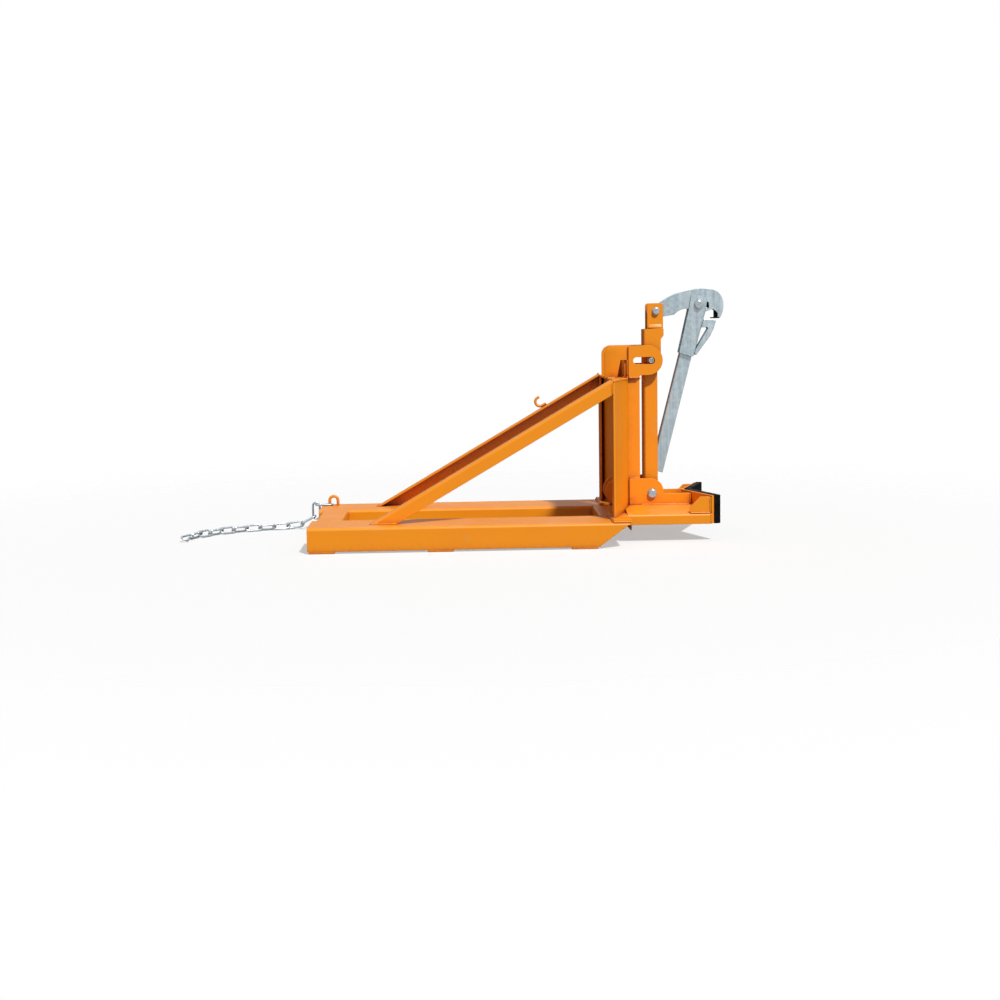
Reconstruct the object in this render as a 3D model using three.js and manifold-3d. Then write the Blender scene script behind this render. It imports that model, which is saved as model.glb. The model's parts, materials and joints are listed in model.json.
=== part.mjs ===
import * as THREE from 'three';
import { mergeVertices } from 'three/addons/utils/BufferGeometryUtils.js';
import Module from 'manifold-3d';

const wasm = await Module();
wasm.setup();

// Lifting clamp carried on two flat bars: two long channels, a folded mast with raking braces,
// a V-shaped cradle for a round wall and a beak that closes over the rim of that wall.
// Millimetres, +Z up, +X towards the load, Y = 0 is the plane of symmetry.
// "near" is the side of negative Y.

// General
const SEAT_GAP = 0.3;
const ARC_STEP = Math.PI / 12;
const BOLT_CLEARANCE = 0.6;
const PAST_FACE = 20;
const CENTRE_X = -582.3;

// Pocket channels
const POCKET_REAR_X = -1028;
const POCKET_FRONT_X = -28;
const POCKET_INNER_Y = 135;
const POCKET_OUTER_Y = 335;
const POCKET_TOP_Z = 80;
const POCKET_WALL = 6;
const POCKET_BEND = 7;
const NOSE_LENGTH = 100;
const STRAP_LENGTH = 80;
const STRAP_THICKNESS = 6;
const STRAP_CENTRES_X = [-984, -618, -173];

// Cross members between the pockets
const REAR_MEMBER_X = [-1015, -931];
const REAR_MEMBER_BOTTOM_Z = 40;
const FRONT_MEMBER_X = [-112, -8];
const FRONT_MEMBER_BOTTOM_Z = 30;
const MEMBER_WALL = 5;

// Mast
const MAST_SHEET = 6;
const MAST_BEND = 4;
const MAST_REAR_X = -77;
const MAST_WING_Y = 270;
const MAST_FLANGE_INNER_Y = 212;
const MAST_BEND_X = -8;
const MAST_FRONT_X = 28;
const MAST_CHEEK_Y = 60;
const MAST_TOP_Z = 508;
const FOOT_PLATE = 7.7;
const FOOT_PLATE_X = [-84, -28];
const FOOT_PLATE_Y = [140, 330];
const CAP_PLATE = 6;
const CAP_LIP = 3;
const CAP_SLOT_Y = 42;
const CAP_SLOT_X = -12;
const CAP_SLOT_CORNER = 5;

// Braces
const BRACE_WEB = 41;
const BRACE_FLANGE = 45;
const BRACE_SHEET = 6;
const BRACE_SLOPE = Math.atan(0.5775);
const BRACE_TOP_LINE = [-83.6, 514.8];
const BRACE_LENGTH = 1000;

// Ears at the mast head and inner plates
const EAR_THICKNESS = 10;
const EAR_INNER_Y = 60.3;
const EAR_REAR_X = -8;
const EAR_TOP_Z = 617;
const EAR_ROUND = 47.5;
const EAR_ROUND_X = 54.5;
const EAR_NECK = 4;
const SLOT_Z = 568.5;
const SLOT_X = [18, 65.4];
const SLOT_RADIUS = 11.2;
const STAY_PLATE = 8;
const UPPER_STAY_INNER_Y = 52;
const UPPER_STAY_FRONT_X = 5;
const UPPER_STAY_CORNER = 29;
const LOWER_STAY_INNER_Y = 45.7;
const LOWER_STAY_Z = [104.6, 187];
const STAY_REAR_X = -84;

// Pivot cheeks and saddle arm
const CHEEK_TOP_Z = 189;
const CHEEK_NOSE_Z = 140;
const CHEEK_FRONT_X = 187.6;
const CHEEK_SHOULDER_X = 102;
const CHEEK_SHOULDER_ROUND = 42;
const CHEEK_HOLLOW = 8;
const PIVOT_X = 65.4;
const PIVOT_Z = 141;
const ARM_SIDE_Y = 206;
const ARM_BOTTOM_Z = 55;
const ARM_SHOULDER_Z = 88.5;
const ARM_TOP_Z = 104;
const ARM_TOP_Y = 72;
const ARM_SHEET = 6;
const ARM_REAR_X = -27.6;

// V cradle
const CRADLE_APEX_X = 168;
const CRADLE_SLOPE = Math.atan(0.34);
const CRADLE_HALF_WIDTH = 205;
const CRADLE_PLATE = 8;
const CRADLE_Z = [56, 145];
const PAD_THICKNESS = 20;
const PAD_TOP_Z = 147;
const PAD_INNER_Y = 8;
const GUSSET_Y = [194, 202];
const GUSSET_REAR_X = 170;
const GUSSET_TOP_Z = 141;
const GUSSET_SLANT = 32;
const GUSSET_CORNER = 6;
const GUSSET_HEEL = 18;

// Swinging upright
const UPRIGHT_HALF_WIDTH = 38;
const UPRIGHT_REAR_X = 44;
const UPRIGHT_FRONT_X = 88;
const UPRIGHT_HEAD_X = 107;
const UPRIGHT_NECK_X = 100;
const UPRIGHT_NECK_Z = [548, 590];
const UPRIGHT_STEP_Z = [636, 644];
const UPRIGHT_NECK_ROUND = 12;
const UPRIGHT_FOOT_ROUND = 14;
const UPRIGHT_SHEET = 5;
const UPRIGHT_BOTTOM_Z = 113;
const UPRIGHT_TOP_Z = 672;
const HEAD_PLATE_Y = [24.7, 32.7];
const HEAD_PLATE_X = [57, 108];
const HEAD_PLATE_Z = [600, 751];
const HEAD_PLATE_NECK_Z = [634, 646];

// Beak and its lever
const JAW_PIVOT = [84.9, 726];
const JAW_PLATE_Y = [12, 20];
const JAW_HEEL = 25;
const JAW_BACK = [
  [97, 750], [142.6, 776.5], [190, 790], [238, 796.6], [282, 788], [302.5, 761.6], [304.6, 729], [296, 703],
];
const JAW_THROAT = [
  [286, 704], [286, 717], [270, 729], [251, 722], [225, 722], [187, 732], [160, 725], [146, 713],
];
const JAW_EYE = [[246, 729, 4], [259, 732, 5], [257.5, 753, 4], [248.5, 753, 4]];
const TOOTH = [
  [266, 699.6], [294, 699.6, 3], [299, 734], [290, 757, 5], [262, 764, 5], [240, 758, 5],
  [240, 733], [262, 737], [277, 726], [277, 703.5], [266, 703],
];
const LEVER_PIVOT = [223.8, 744.5];
const LEVER_HALF_WIDTH = 26;
const LEVER_SHEET = 4.5;
const LEVER_TILT = Math.atan(0.27);
const LEVER_FRONT = [241.3, 701.1];
const LEVER_SIDE = [[252.5, 762, 5], [229, 774.5, 8], [201, 777, 9], [193.5, 733, 20], [161, 591, 3]];
const LEVER_FOOT = [207, 577, 4];
const LEVER_WEB_TOP_Z = 698;
const LEVER_REACH = 150;
const BAR_HALF_WIDTH = 15;
const BAR_DEPTH = 41;
const BAR_SHEET = 4;
const BAR_TILT = Math.atan(0.2555);
const BAR_FOOT = [106.5, 202];
const BAR_LENGTH = 452;
const BAR_HEEL_CUT = [21, 26];
const CATCH_HALF_WIDTH = 20;
const CATCH_GAP = 0.4;
const CATCH_Z = [586, 696.8];
const CATCH_EDGE = [[268, 696.8], [282, 694.7, 2], [274.5, 669, 6], [262.5, 643, 30]];
const CATCH_MOUTH_Z = [600, 671];
const CATCH_MOUTH_CORNER = [257.5, CATCH_MOUTH_Z[1], 4];

// Bolts: shank radius, head across corners, head height, reach to the head on each side of the middle
const PIVOT_BOLT = {
  shank: 10, head: 15, height: 9, grip: 70.6, washer: 17, sleeve: 14, sleeveY: [38.4, 60],
};
const JAW_BOLT = {
  shank: 7.5, head: 11, height: 8, grip: 33, washer: 12, sleeve: 12, sleeveY: [20.3, 24.4],
};
const LEVER_BOLT = {
  shank: 8, head: 13.5, height: 8, grip: 26.3, washer: 15, sleeve: 12, sleeveY: [20.2, 21.2],
};
const WASHER = 2.5;
const THREAD_END = 5;

// Pin of the slots: radius, reach to each side, collars beside the upright, hexagon sockets in its ends
const SLOT_PIN = {
  radius: 8.7, reach: 70, collar: 12, collarY: [38.4, 59.5], socket: 5.8, socketDepth: 6,
};

// Chain, its eye and hooks
const CHAIN_Y = 285;
const EYE_BAR = 5;
const EYE_LEGS_X = [-1002, -974];
const EYE_TOP_Z = 112;
const EYE_STRAIGHT = 8;
const LINK_WIRE = 3.5;
const LINK_CROWN = 11.5;
const LINK_HALF_STRAIGHT = 16.5;
const LINK_PLAY = 7.7;
const LINK_FACETS = 8;
const LINK_RINGS = 12;
const LINK_COUNT = 12;
const FIRST_LINKS = [[180, 0, 90], [180, -90, 0], [180, -28, 90], [184, -8, -31], [190, -1.5, 50]];
const CHAIN_TURN = 7.5;
const CHAIN_ROLL = 45;
const HOOK_ROLL = 60;
const HOOK_EYE = 8;
const HOOK_NOSE = 11.5;
const HOOK_LENGTH = 46;
const HOOK_SHANK_X = [10, 28];
const HOOK_MOUTH = 0.72 * Math.PI;
const GATE_START = [14, 1.5];
const GATE_SHY = [5.5, 3.2];
const GATE_RADIUS = 2.6;
const J_HOOK_BAR = 4.5;
const J_HOOK_BEND = 15.5;
const J_HOOK_SHANK = 12;
const J_HOOK_TIP = 9;
const J_HOOK_FOOT = [-255, 415.8];

const paint = new THREE.MeshStandardMaterial({ color: 0xf08c12, roughness: 0.42, metalness: 0.0 });
const zinc = new THREE.MeshStandardMaterial({ color: 0xaac3cd, roughness: 0.38, metalness: 0.85 });
const bolt = new THREE.MeshStandardMaterial({ color: 0xc3ccd2, roughness: 0.32, metalness: 0.9 });
const rubber = new THREE.MeshStandardMaterial({ color: 0x15161a, roughness: 0.8, metalness: 0.0 });

const model = new THREE.Group();
model.name = 'drum_clamp';
model.position.x = -CENTRE_X;
const upright = new THREE.Group();
upright.position.set(PIVOT_X, 0, PIVOT_Z);
const jaw = new THREE.Group();
jaw.position.set(JAW_PIVOT[0] - PIVOT_X, 0, JAW_PIVOT[1] - PIVOT_Z);
const lever = new THREE.Group();
lever.position.set(LEVER_PIVOT[0] - JAW_PIVOT[0], 0, LEVER_PIVOT[1] - JAW_PIVOT[1]);
jaw.add(lever);
upright.add(jaw);
model.add(upright);

// Each group's own origin, so that its pieces can be drawn where they stand in the assembly.
const originOf = new Map([
  [model, [0, 0]],
  [upright, [PIVOT_X, PIVOT_Z]],
  [jaw, JAW_PIVOT],
  [lever, LEVER_PIVOT],
]);

function addPiece(group, name, geometry, material) {
  const [x, z] = originOf.get(group);
  const piece = new THREE.Mesh(geometry, material);
  piece.name = name;
  piece.position.set(-x, 0, -z);
  group.add(piece);
  return piece;
}

// The rounded version of one corner, as points from one tangent point to the other.
function filletPoints(before, corner, after, radius) {
  const toBefore = before.clone().sub(corner).normalize();
  const toAfter = after.clone().sub(corner).normalize();
  const half = Math.acos(toBefore.dot(toAfter)) / 2;
  const centre = toBefore.clone().add(toAfter).normalize()
    .multiplyScalar(radius / Math.sin(half))
    .add(corner);
  const start = toBefore.multiplyScalar(radius / Math.tan(half)).add(corner).sub(centre);
  const end = toAfter.multiplyScalar(radius / Math.tan(half)).add(corner).sub(centre);
  const sweep = Math.atan2(start.cross(end), start.dot(end));
  const steps = Math.max(2, Math.ceil(Math.abs(sweep) / ARC_STEP));
  return Array.from({ length: steps + 1 }, (_, i) =>
    start.clone().rotateAround(new THREE.Vector2(), (sweep * i) / steps).add(centre));
}

// A closed outline from corners written as [x, y, corner radius].
function outline(corners, holes = []) {
  const spots = corners.map(([x, y]) => new THREE.Vector2(x, y));
  const points = spots.flatMap((spot, i) => {
    const radius = corners[i][2] ?? 0;
    const after = spots[(i + 1) % spots.length];
    return radius > 0 ? filletPoints(spots.at(i - 1), spot, after, radius) : [spot];
  });
  if (THREE.ShapeUtils.isClockWise(points)) {
    points.reverse();
  }
  const shape = new THREE.Shape(points);
  shape.holes.push(...holes);
  return shape;
}

function roundHole(x, y, radius) {
  return new THREE.Path().absarc(x, y, radius, 0, 2 * Math.PI);
}

// The section of a sheet folded along a centre line, with one bend radius at every corner.
function foldedSheet(corners, thickness, bend) {
  const spots = corners.map(([x, y]) => new THREE.Vector2(x, y));
  const line = spots.flatMap((spot, i) => {
    const isEnd = i === 0 || i === spots.length - 1;
    return isEnd ? [spot] : filletPoints(spots[i - 1], spot, spots[i + 1], bend);
  });
  const sides = [[], []];
  line.forEach((point, i) => {
    const before = line[Math.max(i - 1, 0)];
    const after = line[Math.min(i + 1, line.length - 1)];
    const arriving = point.clone().sub(before).normalize();
    const leaving = after.clone().sub(point).normalize();
    const heading = arriving.clone().add(leaving).normalize();
    const offset = thickness / 2 / Math.max(heading.dot(leaving), heading.dot(arriving));
    const across = new THREE.Vector2(-heading.y, heading.x).multiplyScalar(offset);
    sides[0].push(point.clone().add(across));
    sides[1].unshift(point.clone().sub(across));
  });
  return new THREE.Shape([...sides[0], ...sides[1]]);
}

const X = new THREE.Vector3(1, 0, 0);
const Y = new THREE.Vector3(0, 1, 0);
const Z = new THREE.Vector3(0, 0, 1);

function extrude(shape, depth) {
  return new THREE.ExtrudeGeometry(shape, { depth, bevelEnabled: false, curveSegments: 8 });
}

// A (y, z) section drawn out along X.
function alongX(shape, from, to) {
  const turn = new THREE.Matrix4().makeBasis(Y, Z, X);
  return extrude(shape, to - from).applyMatrix4(turn).translate(from, 0, 0);
}

// An (x, z) outline given a thickness along Y.
function alongY(shape, from, to) {
  const turn = new THREE.Matrix4().makeBasis(X, Z, Y.clone().negate());
  return extrude(shape, to - from).applyMatrix4(turn).translate(0, to, 0);
}

// An (x, y) plan raised along Z.
function alongZ(shape, from, to) {
  return extrude(shape, to - from).translate(0, 0, from);
}

function toSolid(geometry) {
  const bare = geometry.clone();
  bare.deleteAttribute('normal');
  bare.deleteAttribute('uv');
  const merged = mergeVertices(bare, 1e-4);
  return new wasm.Manifold(new wasm.Mesh({
    numProp: 3,
    vertProperties: new Float32Array(merged.attributes.position.array),
    triVerts: new Uint32Array(merged.index.array),
  }));
}

function toGeometry(solid) {
  const { vertProperties, triVerts } = solid.getMesh();
  const geometry = new THREE.BufferGeometry();
  geometry.setAttribute('position', new THREE.BufferAttribute(vertProperties, 3));
  geometry.setIndex(new THREE.BufferAttribute(triVerts, 1));
  geometry.computeVertexNormals();
  return geometry;
}

function cut(geometry, ...tools) {
  return toGeometry(tools.reduce((solid, tool) => solid.subtract(toSolid(tool)), toSolid(geometry)));
}

function join(geometry, ...others) {
  return toGeometry(others.reduce((solid, other) => solid.add(toSolid(other)), toSolid(geometry)));
}

function common(geometry, other) {
  return toGeometry(toSolid(geometry).intersect(toSolid(other)));
}

// A rectangle as a closed outline.
function rectangle([x0, x1], [y0, y1]) {
  return outline([[x0, y0], [x1, y0], [x1, y1], [x0, y1]]);
}

// The near piece and its mirror image on the far side.
function addPair(group, name, makeGeometry, material) {
  addPiece(group, `near_${name}`, makeGeometry(-1), material);
  addPiece(group, `far_${name}`, makeGeometry(1), material);
}

// The Y range of a plate that lies between two distances from the middle, on one side.
function sideRange(side, [inner, outer]) {
  return side < 0 ? [-outer, -inner] : [inner, outer];
}

function plate(side, shape, distances) {
  return alongY(shape, ...sideRange(side, distances));
}

function pocket(side) {
  const half = POCKET_WALL / 2;
  const bottom = STRAP_THICKNESS + SEAT_GAP;
  const section = foldedSheet([
    [side * (POCKET_INNER_Y + half), bottom],
    [side * (POCKET_INNER_Y + half), POCKET_TOP_Z - half],
    [side * (POCKET_OUTER_Y - half), POCKET_TOP_Z - half],
    [side * (POCKET_OUTER_Y - half), bottom],
  ], POCKET_WALL, POCKET_BEND);
  const nose = outline([
    [POCKET_FRONT_X, POCKET_TOP_Z],
    [POCKET_FRONT_X - NOSE_LENGTH, bottom],
    [POCKET_FRONT_X - NOSE_LENGTH, -PAST_FACE],
    [POCKET_FRONT_X + PAST_FACE, -PAST_FACE],
    [POCKET_FRONT_X + PAST_FACE, POCKET_TOP_Z],
  ]);
  const body = alongX(section, POCKET_REAR_X, POCKET_FRONT_X);
  return cut(body, plate(side, nose, [POCKET_INNER_Y - PAST_FACE, POCKET_OUTER_Y + PAST_FACE]));
}

function strap(side, centreX) {
  const plan = rectangle([centreX - STRAP_LENGTH / 2, centreX + STRAP_LENGTH / 2],
    sideRange(side, [POCKET_INNER_Y, POCKET_OUTER_Y]));
  return alongZ(plan, 0, STRAP_THICKNESS);
}

function crossMember([rear, front], bottom) {
  const half = MEMBER_WALL / 2;
  const section = foldedSheet([
    [rear + half, bottom],
    [rear + half, POCKET_TOP_Z - half],
    [front - half, POCKET_TOP_Z - half],
    [front - half, bottom],
  ], MEMBER_WALL, MEMBER_WALL);
  const reach = POCKET_INNER_Y - SEAT_GAP;
  return alongY(section, -reach, reach);
}

function brace(side) {
  const half = BRACE_SHEET / 2;
  const angle = foldedSheet([
    [side * (MAST_WING_Y - half), -BRACE_WEB],
    [side * (MAST_WING_Y - half), -half],
    [side * (MAST_WING_Y - BRACE_FLANGE), -half],
  ], BRACE_SHEET, BRACE_SHEET);
  const along = new THREE.Vector3(Math.cos(BRACE_SLOPE), 0, Math.sin(BRACE_SLOPE));
  const outward = new THREE.Vector3(-Math.sin(BRACE_SLOPE), 0, Math.cos(BRACE_SLOPE));
  const [x, z] = BRACE_TOP_LINE;
  const bar = extrude(angle, BRACE_LENGTH)
    .translate(0, 0, PAST_FACE * 2 - BRACE_LENGTH)
    .applyMatrix4(new THREE.Matrix4().makeBasis(Y, outward, along))
    .translate(x, 0, z);
  const room = rectangle([POCKET_REAR_X, MAST_REAR_X - SEAT_GAP], [POCKET_TOP_Z + SEAT_GAP, MAST_TOP_Z * 2]);
  return common(bar, plate(side, room, [0, POCKET_OUTER_Y]));
}

function mastSide(side) {
  const half = MAST_SHEET / 2;
  const wing = foldedSheet([
    [MAST_REAR_X + half, side * (MAST_WING_Y - half)],
    [MAST_BEND_X - half, side * (MAST_CHEEK_Y - half)],
    [MAST_FRONT_X, side * (MAST_CHEEK_Y - half)],
  ], MAST_SHEET, MAST_BEND);
  const flange = rectangle([MAST_REAR_X, MAST_REAR_X + MAST_SHEET],
    sideRange(side, [MAST_FLANGE_INNER_Y, MAST_WING_Y]));
  const bottom = POCKET_TOP_Z + SEAT_GAP;
  const top = MAST_TOP_Z;
  const foot = rectangle([FOOT_PLATE_X[0] - PAST_FACE, PAST_FACE],
    sideRange(side, [POCKET_INNER_Y, POCKET_OUTER_Y]));
  const footTop = bottom + FOOT_PLATE + SEAT_GAP;
  return cut(join(alongZ(wing, bottom, top), alongZ(flange, bottom, top)), alongZ(foot, 0, footTop));
}

function footPlate(side) {
  const bottom = POCKET_TOP_Z + SEAT_GAP;
  return alongZ(rectangle(FOOT_PLATE_X, sideRange(side, FOOT_PLATE_Y)), bottom, bottom + FOOT_PLATE);
}

function capPlate() {
  const half = [
    [CAP_SLOT_X, CAP_SLOT_Y, CAP_SLOT_CORNER],
    [MAST_FRONT_X + CAP_LIP, CAP_SLOT_Y],
    [MAST_FRONT_X + CAP_LIP, MAST_CHEEK_Y + CAP_LIP],
    [MAST_BEND_X, MAST_CHEEK_Y + CAP_LIP],
    [MAST_REAR_X + CAP_LIP, MAST_WING_Y + CAP_LIP],
    [MAST_REAR_X, MAST_WING_Y + CAP_LIP],
  ];
  const mirrored = half.map(([x, y, ...rest]) => [x, -y, ...rest]).reverse();
  const bottom = MAST_TOP_Z + SEAT_GAP;
  return alongZ(outline([...half, ...mirrored]), bottom, bottom + CAP_PLATE);
}

const EAR_BOTTOM_Z = MAST_TOP_Z + CAP_PLATE + 2 * SEAT_GAP;

function slottedEar(side) {
  const underside = SLOT_Z - EAR_ROUND + 1;
  const shape = outline([
    [EAR_REAR_X, EAR_BOTTOM_Z],
    [MAST_FRONT_X - EAR_NECK, EAR_BOTTOM_Z],
    [MAST_FRONT_X + EAR_NECK, underside],
    [EAR_ROUND_X + EAR_ROUND, underside, EAR_ROUND - 0.1],
    [EAR_ROUND_X + EAR_ROUND, EAR_TOP_Z, EAR_ROUND - 0.1],
    [EAR_REAR_X, EAR_TOP_Z, EAR_NECK],
  ]);
  const slot = new THREE.Path();
  slot.absarc(SLOT_X[1], SLOT_Z, SLOT_RADIUS, -Math.PI / 2, Math.PI / 2);
  slot.absarc(SLOT_X[0], SLOT_Z, SLOT_RADIUS, Math.PI / 2, 1.5 * Math.PI);
  slot.closePath();
  shape.holes.push(slot);
  return plate(side, shape, [EAR_INNER_Y, EAR_INNER_Y + EAR_THICKNESS]);
}

function upperStay(side) {
  const shape = outline([
    [STAY_REAR_X, EAR_BOTTOM_Z],
    [UPPER_STAY_FRONT_X, EAR_BOTTOM_Z],
    [UPPER_STAY_FRONT_X, EAR_TOP_Z],
    [STAY_REAR_X, EAR_TOP_Z, UPPER_STAY_CORNER],
  ]);
  return plate(side, shape, [UPPER_STAY_INNER_Y, UPPER_STAY_INNER_Y + STAY_PLATE]);
}

function lowerStay(side) {
  const [bottom, top] = LOWER_STAY_Z;
  const round = (top - bottom) / 2 - 0.1;
  const shape = outline([
    [STAY_REAR_X, bottom, round],
    [MAST_FRONT_X, bottom],
    [MAST_FRONT_X, top],
    [STAY_REAR_X, top, round],
  ]);
  return plate(side, shape, [LOWER_STAY_INNER_Y, LOWER_STAY_INNER_Y + STAY_PLATE]);
}

function pivotCheek(side) {
  const bottom = ARM_TOP_Z + SEAT_GAP;
  const shape = outline([
    [EAR_REAR_X, bottom],
    [CHEEK_FRONT_X, bottom],
    [CHEEK_FRONT_X, CHEEK_NOSE_Z],
    [CHEEK_SHOULDER_X + 1, CHEEK_NOSE_Z - 1, CHEEK_HOLLOW],
    [CHEEK_SHOULDER_X - 1, CHEEK_TOP_Z, CHEEK_SHOULDER_ROUND],
    [EAR_REAR_X, CHEEK_TOP_Z],
  ], [roundHole(PIVOT_X, PIVOT_Z, PIVOT_BOLT.shank + BOLT_CLEARANCE)]);
  return plate(side, shape, [EAR_INNER_Y, EAR_INNER_Y + EAR_THICKNESS]);
}

// How far forward the rear face of the V lies at a distance from the middle.
function cradleRearX(y) {
  return CRADLE_APEX_X + Math.abs(y) * Math.tan(CRADLE_SLOPE);
}

function saddleArm() {
  const half = ARM_SHEET / 2;
  const side = [
    [ARM_SIDE_Y - half, ARM_BOTTOM_Z],
    [ARM_SIDE_Y - half, ARM_SHOULDER_Z - half],
    [ARM_TOP_Y, ARM_TOP_Z - half],
  ];
  const mirrored = side.map(([y, z]) => [-y, z]);
  const section = foldedSheet([...mirrored, ...side.reverse()], ARM_SHEET, ARM_SHEET);
  const tip = ARM_SIDE_Y + PAST_FACE;
  const wingSlope = (MAST_BEND_X - MAST_REAR_X) / (MAST_WING_Y - MAST_CHEEK_Y);
  const wingGap = 2;
  const meetsWingY = MAST_CHEEK_Y + (MAST_BEND_X + wingGap - ARM_REAR_X) / wingSlope;
  const ownHalf = [
    [cradleRearX(0) - SEAT_GAP, 0],
    [cradleRearX(tip) - SEAT_GAP, tip],
    [ARM_REAR_X, tip],
    [ARM_REAR_X, meetsWingY],
    [MAST_BEND_X + wingGap, EAR_INNER_Y],
    [MAST_FRONT_X + SEAT_GAP, EAR_INNER_Y],
  ];
  const plan = outline([...ownHalf, ...ownHalf.slice(1).reverse().map(([x, y]) => [x, -y])]);
  const sheet = alongX(section, ARM_REAR_X - 1, cradleRearX(tip) + 1);
  return common(sheet, alongZ(plan, 0, ARM_TOP_Z + 1));
}

function cradlePlate() {
  const rise = Math.tan(CRADLE_SLOPE);
  const middleX = CRADLE_APEX_X + CRADLE_PLATE / 2 / Math.cos(CRADLE_SLOPE);
  const tipX = middleX + CRADLE_HALF_WIDTH * rise;
  const plan = foldedSheet([[tipX, -CRADLE_HALF_WIDTH], [middleX, 0], [tipX, CRADLE_HALF_WIDTH]],
    CRADLE_PLATE, CRADLE_PLATE);
  return alongZ(plan, ...CRADLE_Z);
}

function cradlePad(side) {
  const rise = Math.tan(CRADLE_SLOPE);
  const setForward = (CRADLE_PLATE + SEAT_GAP + PAD_THICKNESS / 2) / Math.cos(CRADLE_SLOPE);
  const middleX = CRADLE_APEX_X + setForward;
  const plan = foldedSheet([
    [middleX + PAD_INNER_Y * rise, side * PAD_INNER_Y],
    [middleX + CRADLE_HALF_WIDTH * rise, side * CRADLE_HALF_WIDTH],
  ], PAD_THICKNESS, PAD_THICKNESS);
  return alongZ(plan, CRADLE_Z[0], PAD_TOP_Z);
}

function cradleGusset(side) {
  const bottom = ARM_SHOULDER_Z + 2;
  const front = cradleRearX(GUSSET_Y[0]) - SEAT_GAP - 0.2;
  const shape = outline([
    [GUSSET_REAR_X, bottom],
    [front, bottom],
    [front, GUSSET_TOP_Z],
    [GUSSET_REAR_X + GUSSET_SLANT, GUSSET_TOP_Z, GUSSET_CORNER],
    [GUSSET_REAR_X, bottom + GUSSET_HEEL],
  ]);
  return plate(side, shape, GUSSET_Y);
}

function uprightChannel() {
  const half = UPRIGHT_SHEET / 2;
  const edge = UPRIGHT_HALF_WIDTH - half;
  const section = foldedSheet([
    [UPRIGHT_HEAD_X + 1, -edge],
    [UPRIGHT_REAR_X + half, -edge],
    [UPRIGHT_REAR_X + half, edge],
    [UPRIGHT_HEAD_X + 1, edge],
  ], UPRIGHT_SHEET, UPRIGHT_SHEET);
  const side = outline([
    [UPRIGHT_REAR_X - 1, UPRIGHT_BOTTOM_Z, UPRIGHT_FOOT_ROUND],
    [UPRIGHT_FRONT_X, UPRIGHT_BOTTOM_Z, UPRIGHT_FOOT_ROUND],
    [UPRIGHT_FRONT_X, UPRIGHT_NECK_Z[0], UPRIGHT_NECK_ROUND],
    [UPRIGHT_NECK_X, UPRIGHT_NECK_Z[1], UPRIGHT_NECK_ROUND],
    [UPRIGHT_NECK_X, UPRIGHT_STEP_Z[0]],
    [UPRIGHT_HEAD_X, UPRIGHT_STEP_Z[1]],
    [UPRIGHT_HEAD_X, UPRIGHT_TOP_Z, 4],
    [UPRIGHT_REAR_X - 1, UPRIGHT_TOP_Z - 4],
  ], [
    roundHole(PIVOT_X, PIVOT_Z, PIVOT_BOLT.shank + BOLT_CLEARANCE),
    roundHole(SLOT_X[1], SLOT_Z, SLOT_PIN.radius + BOLT_CLEARANCE),
  ]);
  const sheet = alongZ(section, UPRIGHT_BOTTOM_Z, UPRIGHT_TOP_Z);
  return common(sheet, alongY(side, -UPRIGHT_HALF_WIDTH - 1, UPRIGHT_HALF_WIDTH + 1));
}

function headPlate(side) {
  const [rear, front] = HEAD_PLATE_X;
  const [bottom, top] = HEAD_PLATE_Z;
  const shape = outline([
    [rear, bottom, 6],
    [UPRIGHT_NECK_X, bottom, 6],
    [UPRIGHT_NECK_X, HEAD_PLATE_NECK_Z[0]],
    [front, HEAD_PLATE_NECK_Z[1]],
    [front, top, 9],
    [rear, top, 9],
  ], [roundHole(...JAW_PIVOT, JAW_BOLT.shank + BOLT_CLEARANCE)]);
  return plate(side, shape, HEAD_PLATE_Y);
}

function jawPlate(side) {
  const [x, z] = JAW_PIVOT;
  const smooth = (corners, steps) =>
    new THREE.SplineCurve(corners.map((corner) => new THREE.Vector2(...corner))).getPoints(steps);
  const heel = arcPoints(JAW_PIVOT, JAW_HEEL, 0.4 * Math.PI, 1.7 * Math.PI, 12);
  const rim = [...smooth(JAW_BACK, 20).reverse(), ...heel.map((spot) => new THREE.Vector2(...spot)),
    ...smooth(JAW_THROAT, 18).reverse()];
  const shape = new THREE.Shape(rim);
  shape.holes.push(
    roundHole(x, z, JAW_BOLT.shank + BOLT_CLEARANCE),
    roundHole(...LEVER_PIVOT, LEVER_BOLT.shank + BOLT_CLEARANCE),
    new THREE.Path(outline(JAW_EYE).getPoints(1)),
  );
  return plate(side, shape, JAW_PLATE_Y);
}

function jawTooth() {
  const reach = JAW_PLATE_Y[0] - SEAT_GAP;
  return alongY(outline(TOOTH), -reach, reach);
}

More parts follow.
